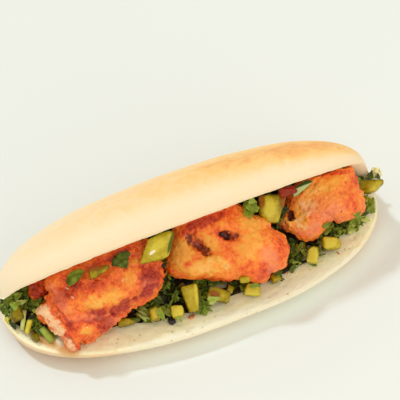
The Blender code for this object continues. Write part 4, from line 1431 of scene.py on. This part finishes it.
CRUMBS = [Patch(*row) for row in (
    (CRUMB, 210, 325, 90, 10, 20, 20, (0.4, 0.9), (0.2, 0.8), 0.1),
    (CRUMB, 330, 255, 50, 9, 35, 14, (0.4, 0.9), (0.2, 0.8), 0.1),
    (CRUMB, 100, 335, 40, 8, -2, 14, (0.4, 0.9), (0.2, 0.8), 0.1),
)]
FLECKS = [Patch(*row) for row in (
    (CRUMB, 287, 275, 1.5, 1.5, 0, 2, (0.8, 1.2), (0.2, 0.5), 0.1),
    (CRUMB, 338, 254, 1.5, 1.5, 0, 2, (0.8, 1.2), (0.2, 0.5), 0.1),
    (CRUMB, 378, 200, 1.5, 2, 0, 3, (0.8, 1.3), (0.2, 0.5), 0.1),
    (CRUMB, 204, 313, 2, 1.5, 0, 2, (0.8, 1.3), (0.2, 0.5), 0.1),
    (CRUMB, 190, 317, 2.5, 1, 10, 4, (1.8, 2.8), (0.6, 1), 0.2),
)]

# --- the stage

@dataclass
class Studio:
    """A plain pale floor in soft daylight from behind, on the left."""

    floor: Triple = (0.76, 0.773, 0.71)
    # painted bounce light from the crust: the floor colour just in front of the roll
    glow: Triple = (0.88, 0.98, 0.94)  # where the crust brightens it
    daylight: Triple = (1.0, 0.925, 0.85)
    fall: tuple[float, float] = (0.41, -0.61)  # of a shadow for each metre of height
    sun: float = 1.1  # strength of the key light
    sun_angle: float = 5.5  # degrees
    sky: float = 0.86  # strength of the light all round
    front: float = 2.2  # power of the fill light
    fill_side: float = 0.8  # its width and height; it stands one metre away

    def build(self) -> None:
        """Floor, lights and colour handling."""
        bpy.ops.object.select_all(action="DESELECT")
        bpy.ops.mesh.primitive_grid_add(x_subdivisions=4, y_subdivisions=4, size=6.0)
        floor = bpy.context.object
        floor.name = "floor"
        floor.data.materials.append(self.floor_material())
        world = bpy.data.worlds.new("studio")
        world.use_nodes = True
        background = next(node for node in world.node_tree.nodes if node.type == "BACKGROUND")
        background.inputs["Color"].default_value = (*self.daylight, 1.0)
        background.inputs["Strength"].default_value = self.sky
        bpy.context.scene.world = world
        bpy.context.scene.view_settings.view_transform = "Standard"
        key = self.lamp("key", "SUN", self.sun, Vector((*self.fall, -1.0)), (0.78, 1.0, 1.2))
        key.data.angle = math.radians(self.sun_angle)
        side = Vector((0.2, -0.8, 0.55)).normalized()
        fill = self.lamp("front", "AREA", self.front, -side, (1.0, 0.95, 0.86))
        fill.data.shape = "SQUARE"
        fill.data.size = self.fill_side
        fill.location = Vector(VIEW.middle) + side

    def floor_material(self) -> Material:
        """The floor's material, with painted bounce light just in front of the roll."""
        nodes = Nodes("floor")
        inputs = {"Vector": nodes.place, "Scale": (10.0, 24.0, 0.0)}
        scaled = nodes.node("ShaderNodeMapping", None, inputs).outputs["Vector"]
        reach = nodes.value("ShaderNodeVectorMath", {"operation": "LENGTH"}, {0: scaled}, "Value")
        y, x = (nodes.value("ShaderNodeSeparateXYZ", None, {"Vector": nodes.place}, axis)
                for axis in "YX")
        # painted bounce light: a lighter band of floor in front of the roll, right of its left end
        near = (reach.within(1.22, 0.95) * y.within(-5 * MM, -25 * MM)
                * x.within(-75 * MM, -45 * MM))
        tone = nodes.mix(near, (*self.floor, 1.0), (*self.glow, 1.0))
        return nodes.surface({"Base Color": tone}, Roughness=0.7, Specular_IOR_Level=0.2)

    def lamp(self, name: str, kind: str, power: float, way: Vector,
             tint: Triple) -> Object:
        """Add one light.

        Args:
            name: its name.
            kind: SUN or AREA.
            power: its strength.
            way: the direction in which it shines.
            tint: its colour.

        Returns:
            The light's object.
        """
        data = bpy.data.lights.new(name, kind)
        data.energy = power
        data.color = tint
        lamp = bpy.data.objects.new(name, data)
        lamp.rotation_mode = "QUATERNION"
        lamp.rotation_quaternion = way.normalized().to_track_quat("-Z", "Y")
        bpy.context.scene.collection.objects.link(lamp)
        return lamp


# --- the sandwich

LEFT_DABS = dabs(
    gold=(
        (92, 302, 13, 8, 15, 1, 1), (90, 303, 6, 3.5, 10, 1.3), (112, 295, 16, 9, 25, 0.9, 0.5),
        (131, 276, 10, 9, 40, 0.7), (128, 262, 12, 5, 25, 0.5), (86, 329, 7, 4.5, 20, 1.2, 0.7),
        (68, 308, 6, 5, -30, 0.6), (112, 294, 15, 8, -25, 0.5)),
    red=(
        (74, 282, 14, 6, -35, 0.7), (97, 284, 10, 7, 10, 0.6), (60, 300, 5, 16, 35, 0.6),
        (146, 276, 14, 12, 40, 0.8), (104, 322, 12, 8, 35, 0.7), (70, 326, 6, 12, 40, 0.5),
        (78, 347, 5, 6, -20, 0.6), (90, 319, 12, 4, 10, 0.9), (66, 334, 4, 14, 38, 0.6),
        (108, 258, 30, 5, 25, 0.6), (66, 291, 14, 9, 10, 0.7), (100, 287, 7, 5, 0, 0.4)),
    crimson=(
        (98, 311, 16, 5, -4, 1.1, -0.6), (121, 306, 18, 7, 36, 1.2, -0.6),
        (147, 290, 18, 7, 38, 1.1, -0.4), (63, 316, 2.5, 24, 36, 0.7, -0.6),
        (153, 277, 10, 12, 60, 0.8), (139, 278, 5, 3, 20, 0.6), (104, 326, 12, 6, 45, 0.6),
        (95, 279, 6, 2, -10, 0.6), (57, 317, 2.2, 15, 38, 0.55, -0.7)),
    char=(
        (105, 311, 10, 2.5, 3, 0.25, -0.4), (132, 300, 12, 2.5, 40, 0.28, -0.5),
        (157, 280, 5, 9, 30, 0.28), (158, 267, 4, 4, 60, 0.35), (100, 336, 3, 1.6, 20, 0.5),
        # char, and a painted shadow under the scrap
        (40, 301, 7, 3.4, 20, 0.9, -1.2)),
    # pale: the torn end's pale flesh; the four smallest dabs are painted highlights
    pale=(
        (45, 311, 12, 7.5, -42, 1.1, 0.5), (56, 325, 15, 5.5, -50, 0.85, 0.4),
        (69, 341, 11, 4, -55, 0.75), (66, 287, 3, 1.2, -30, 0.8), (72, 296, 4, 1.2, -40, 0.8),
        (122, 279, 2.5, 1.2, 30, 0.8), (134, 280, 1.3, 1.3, 0, 0.8)),
    pink=(
        (62, 302, 7, 18, 30, 0.6), (84, 316, 22, 5, 5, 0.5), (54, 288, 9, 4, -50, 0.8),
        (146, 283, 7, 4, 40, 0.7), (110, 313, 9, 2, 10, 0.6), (112, 320, 8, 5, 20, 0.6)),
    strand=((55, 291, 10, 14, 30, 1), (58, 325, 20, 5, -50, 0.6),),
    form=((82, 343, 2.6, 5, -10, 0, -3.2),),
)
MIDDLE_DABS = dabs(
    gold=(
        (182, 253, 12, 16, -25, 1.5, 0.4), (190, 268, 13, 7, 10, 0.6), (240, 254, 16, 13, 0, 0.7),
        (208, 266, 26, 10, 5, 1.2, 0.4), (210, 243, 14, 9, -20, 0.8), (250, 224, 18, 9, -30, 0.9),
        (254, 240, 16, 14, 0, 0.7)),
    red=(
        # the first red dab is a painted shadow under the upper lip, a maroon band
        (205, 221, 30, 7, 24, 1), (219, 238, 5, 14, 12, 0.55), (232, 256, 9, 12, 20, 0.5),
        (188, 264, 4.5, 3.6, 0, 0.9), (215, 266, 5, 4, 0, 0.75), (167, 271, 5, 3, -10, 0.5),
        (262, 274, 16, 9, 15, 0.6), (281, 252, 7, 14, 0, 0.5), (222, 280, 26, 2, -5, 0.5)),
    crimson=(
        # the first three crimson dabs deepen the painted shadow under the upper lip
        (204, 222, 32, 8, 24, 0.7), (214, 221, 5, 5, 24, 0.9), (186, 231, 12, 4, 25, 0.55),
        (226, 232, 9, 3.5, -10, 0.55), (261, 277, 6, 4, 0, 0.5),
        (197, 244, 17, 9, -38, 0.9, -0.5), (228, 236, 14, 6, -8, 0.9, -0.4)),
    char=(
        (189, 238, 6, 6.5, 25, 0.65, -1), (197, 246, 10, 5, -25, 0.7, -1.2),
        (204, 250, 8, 5.5, -30, 0.65, -1), (196, 238, 6, 3.5, -30, 0.5),
        (224.5, 235, 7.5, 4.6, -20, 1.5, -1.6), (234, 236, 10, 3.4, -5, 0.5, -0.5)),
    form=((265, 222, 10, 5, -35, 0, 2),),
    # the two smallest pale dabs are painted highlights in the char pit
    pale=((207, 250, 1, 1, 0, 0.9), (199, 255, 2.5, 0.7, 10, 0.9), (227, 268, 3, 6, 0, 0.5),),
    pink=((268, 256, 9, 12, 30, 0.8), (272, 268, 8, 8, 30, 0.7),),
)
RIGHT_DABS = dabs(
    # the gold dabs at columns 300 and 302 are orange colour, partly painted light on a part that
    # lies in shade
    gold=(
        (318, 190, 22, 8, 20, 0.9), (338, 182, 14, 6, 10, 0.7), (300, 216, 8, 14, 0, 1.2),
        (308, 202, 12, 8, 20, 0.9), (286, 222, 7, 5, 0, 1.2), (289, 225, 5, 3, -30, 1, 0.8),
        (302, 224, 8, 9, 0, 1, 0.3)),
    red=((334, 174, 24, 3, 4, 0.6), (356, 182, 8, 6, -40, 0.4), (353, 204, 8, 10, 0, 0.35),),
    crimson=(
        (289, 201, 3.5, 2.5, -25, 0.9), (312, 202.5, 2.6, 1.5, -30, 0.9),
        (319, 192, 2.4, 1.2, -40, 0.7), (342, 194.5, 1.6, 1, 0, 0.8),
        (349, 196.5, 1.1, 1.2, 0, 0.9), (328, 213, 1.3, 1.1, 0, 0.9),
        (341, 212.5, 1.5, 1, 0, 0.9), (355, 205, 1.6, 1, 60, 0.8), (327, 205, 1, 1, 0, 0.7),
        (318, 183, 6, 2, 30, 0.5), (363, 205, 1.5, 9, 10, 0.5), (312, 202, 3.5, 2, 30, 0.8, -0.3),
        (341, 195, 3, 4, 10, 0.7, -0.3), (350, 197, 2, 4, 0, 0.7, -0.3),
        (328, 215, 5, 2, -25, 0.6, -0.3), (289, 202, 5, 4, 0, 0.6),
        (286, 225, 4.5, 3.5, -40, 0.6, -0.7)),
    char=(
        (290.5, 216, 5, 5.5, -15, 1.3, -2.2), (283, 231, 8, 2.6, -42, 0.5),
        (290, 237, 9, 3.4, -28, 0.9)),
    pink=(
        (283, 226, 7, 5, -30, 0.6), (326, 208, 30, 16, -15, 0.35), (312, 207, 16, 12, 0, 0.5),
        (332, 219, 17, 6, -25, 0.7), (328, 214, 20, 8, 25, 0.9), (313, 229, 12, 7, 40, 1),
        (300, 232, 10, 5, 0, 0.6)),
    # pale: painted light on a part that lies in shade, and a painted highlight on the nub
    pale=((301, 224, 9, 8, -20, 0.5), (308, 209, 15, 12, 20, 0.5), (303, 222, 2.5, 5, -30, 0.45),),
    strand=((335, 200, 26, 14, 25, 0.5),),
)
SCRAP_DABS = dabs(
    red=((37, 287, 12, 9, 10, 0.9),),
    # the first crimson dab is a painted shadow under the scrap
    crimson=((38, 293, 8, 3, 0, 0.8), (43, 285, 2, 8, 10, 0.7),),
)
# Name, node, and what a chicken piece has from its seed on.
CHICKEN = (
    ("chicken_on_the_left", "chicken_left", 1.0, -52.0, 0.6, 1.0, 1.3, 0.3, LEFT_DABS),
    ("chicken_in_the_middle", "chicken_middle", 2.0, -20.0, 0.2, 0.5, 0.8, 0.1, MIDDLE_DABS),
    ("chicken_on_the_right", "chicken_right", 3.0, 35.0, 0.45, 0.8, 1.0, 0.05, RIGHT_DABS),
    ("torn_scrap", "chicken_scrap", 4.0, 10.0, 0.4, 0.7, 0.7, 0.25, SCRAP_DABS),
)
TORN_FROM = 0.2  # chicken that leans further to red than this is torn more finely


def main() -> None:
    """Build the whole scene, piece by piece."""
    logging.basicConfig(level=logging.INFO, format="%(message)s")
    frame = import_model()
    nodes = frame["nodes"]
    VIEW.camera()
    Studio().build()
    Roll(nodes["bread"]).build()
    meat, torn = ChickenFinish().material(), ChickenFinish("torn_chicken", 0.95).material()
    for name, node, *rest in CHICKEN:
        chicken = Chicken(name, nodes[node], *rest)
        chicken.build(torn if chicken.red > TORN_FROM else meat)
    CutPieces(nodes).build()
    Leaves(nodes).build()
    models = Models()
    ground = Ground(list(nodes.values()))
    Heap(nodes, ground).build(models)
    rng = random.Random(SEED + 1)
    for name, patches, look, slot in (
        ("bread_crumbs", CRUMBS, PlainFinish("loose_crumb", "c9a566", "e6cf9a", 0.8), "bread"),
        ("spice_flecks", FLECKS, PlainFinish("spice", "b4602e", "e69a5a", 0.5), "chicken"),
    ):
        bits = [bit for patch in patches for bit in patch.bits(ground, rng)]
        models.joined(name, bits, look.material(), slot)


if __name__ == "__main__":
    main()
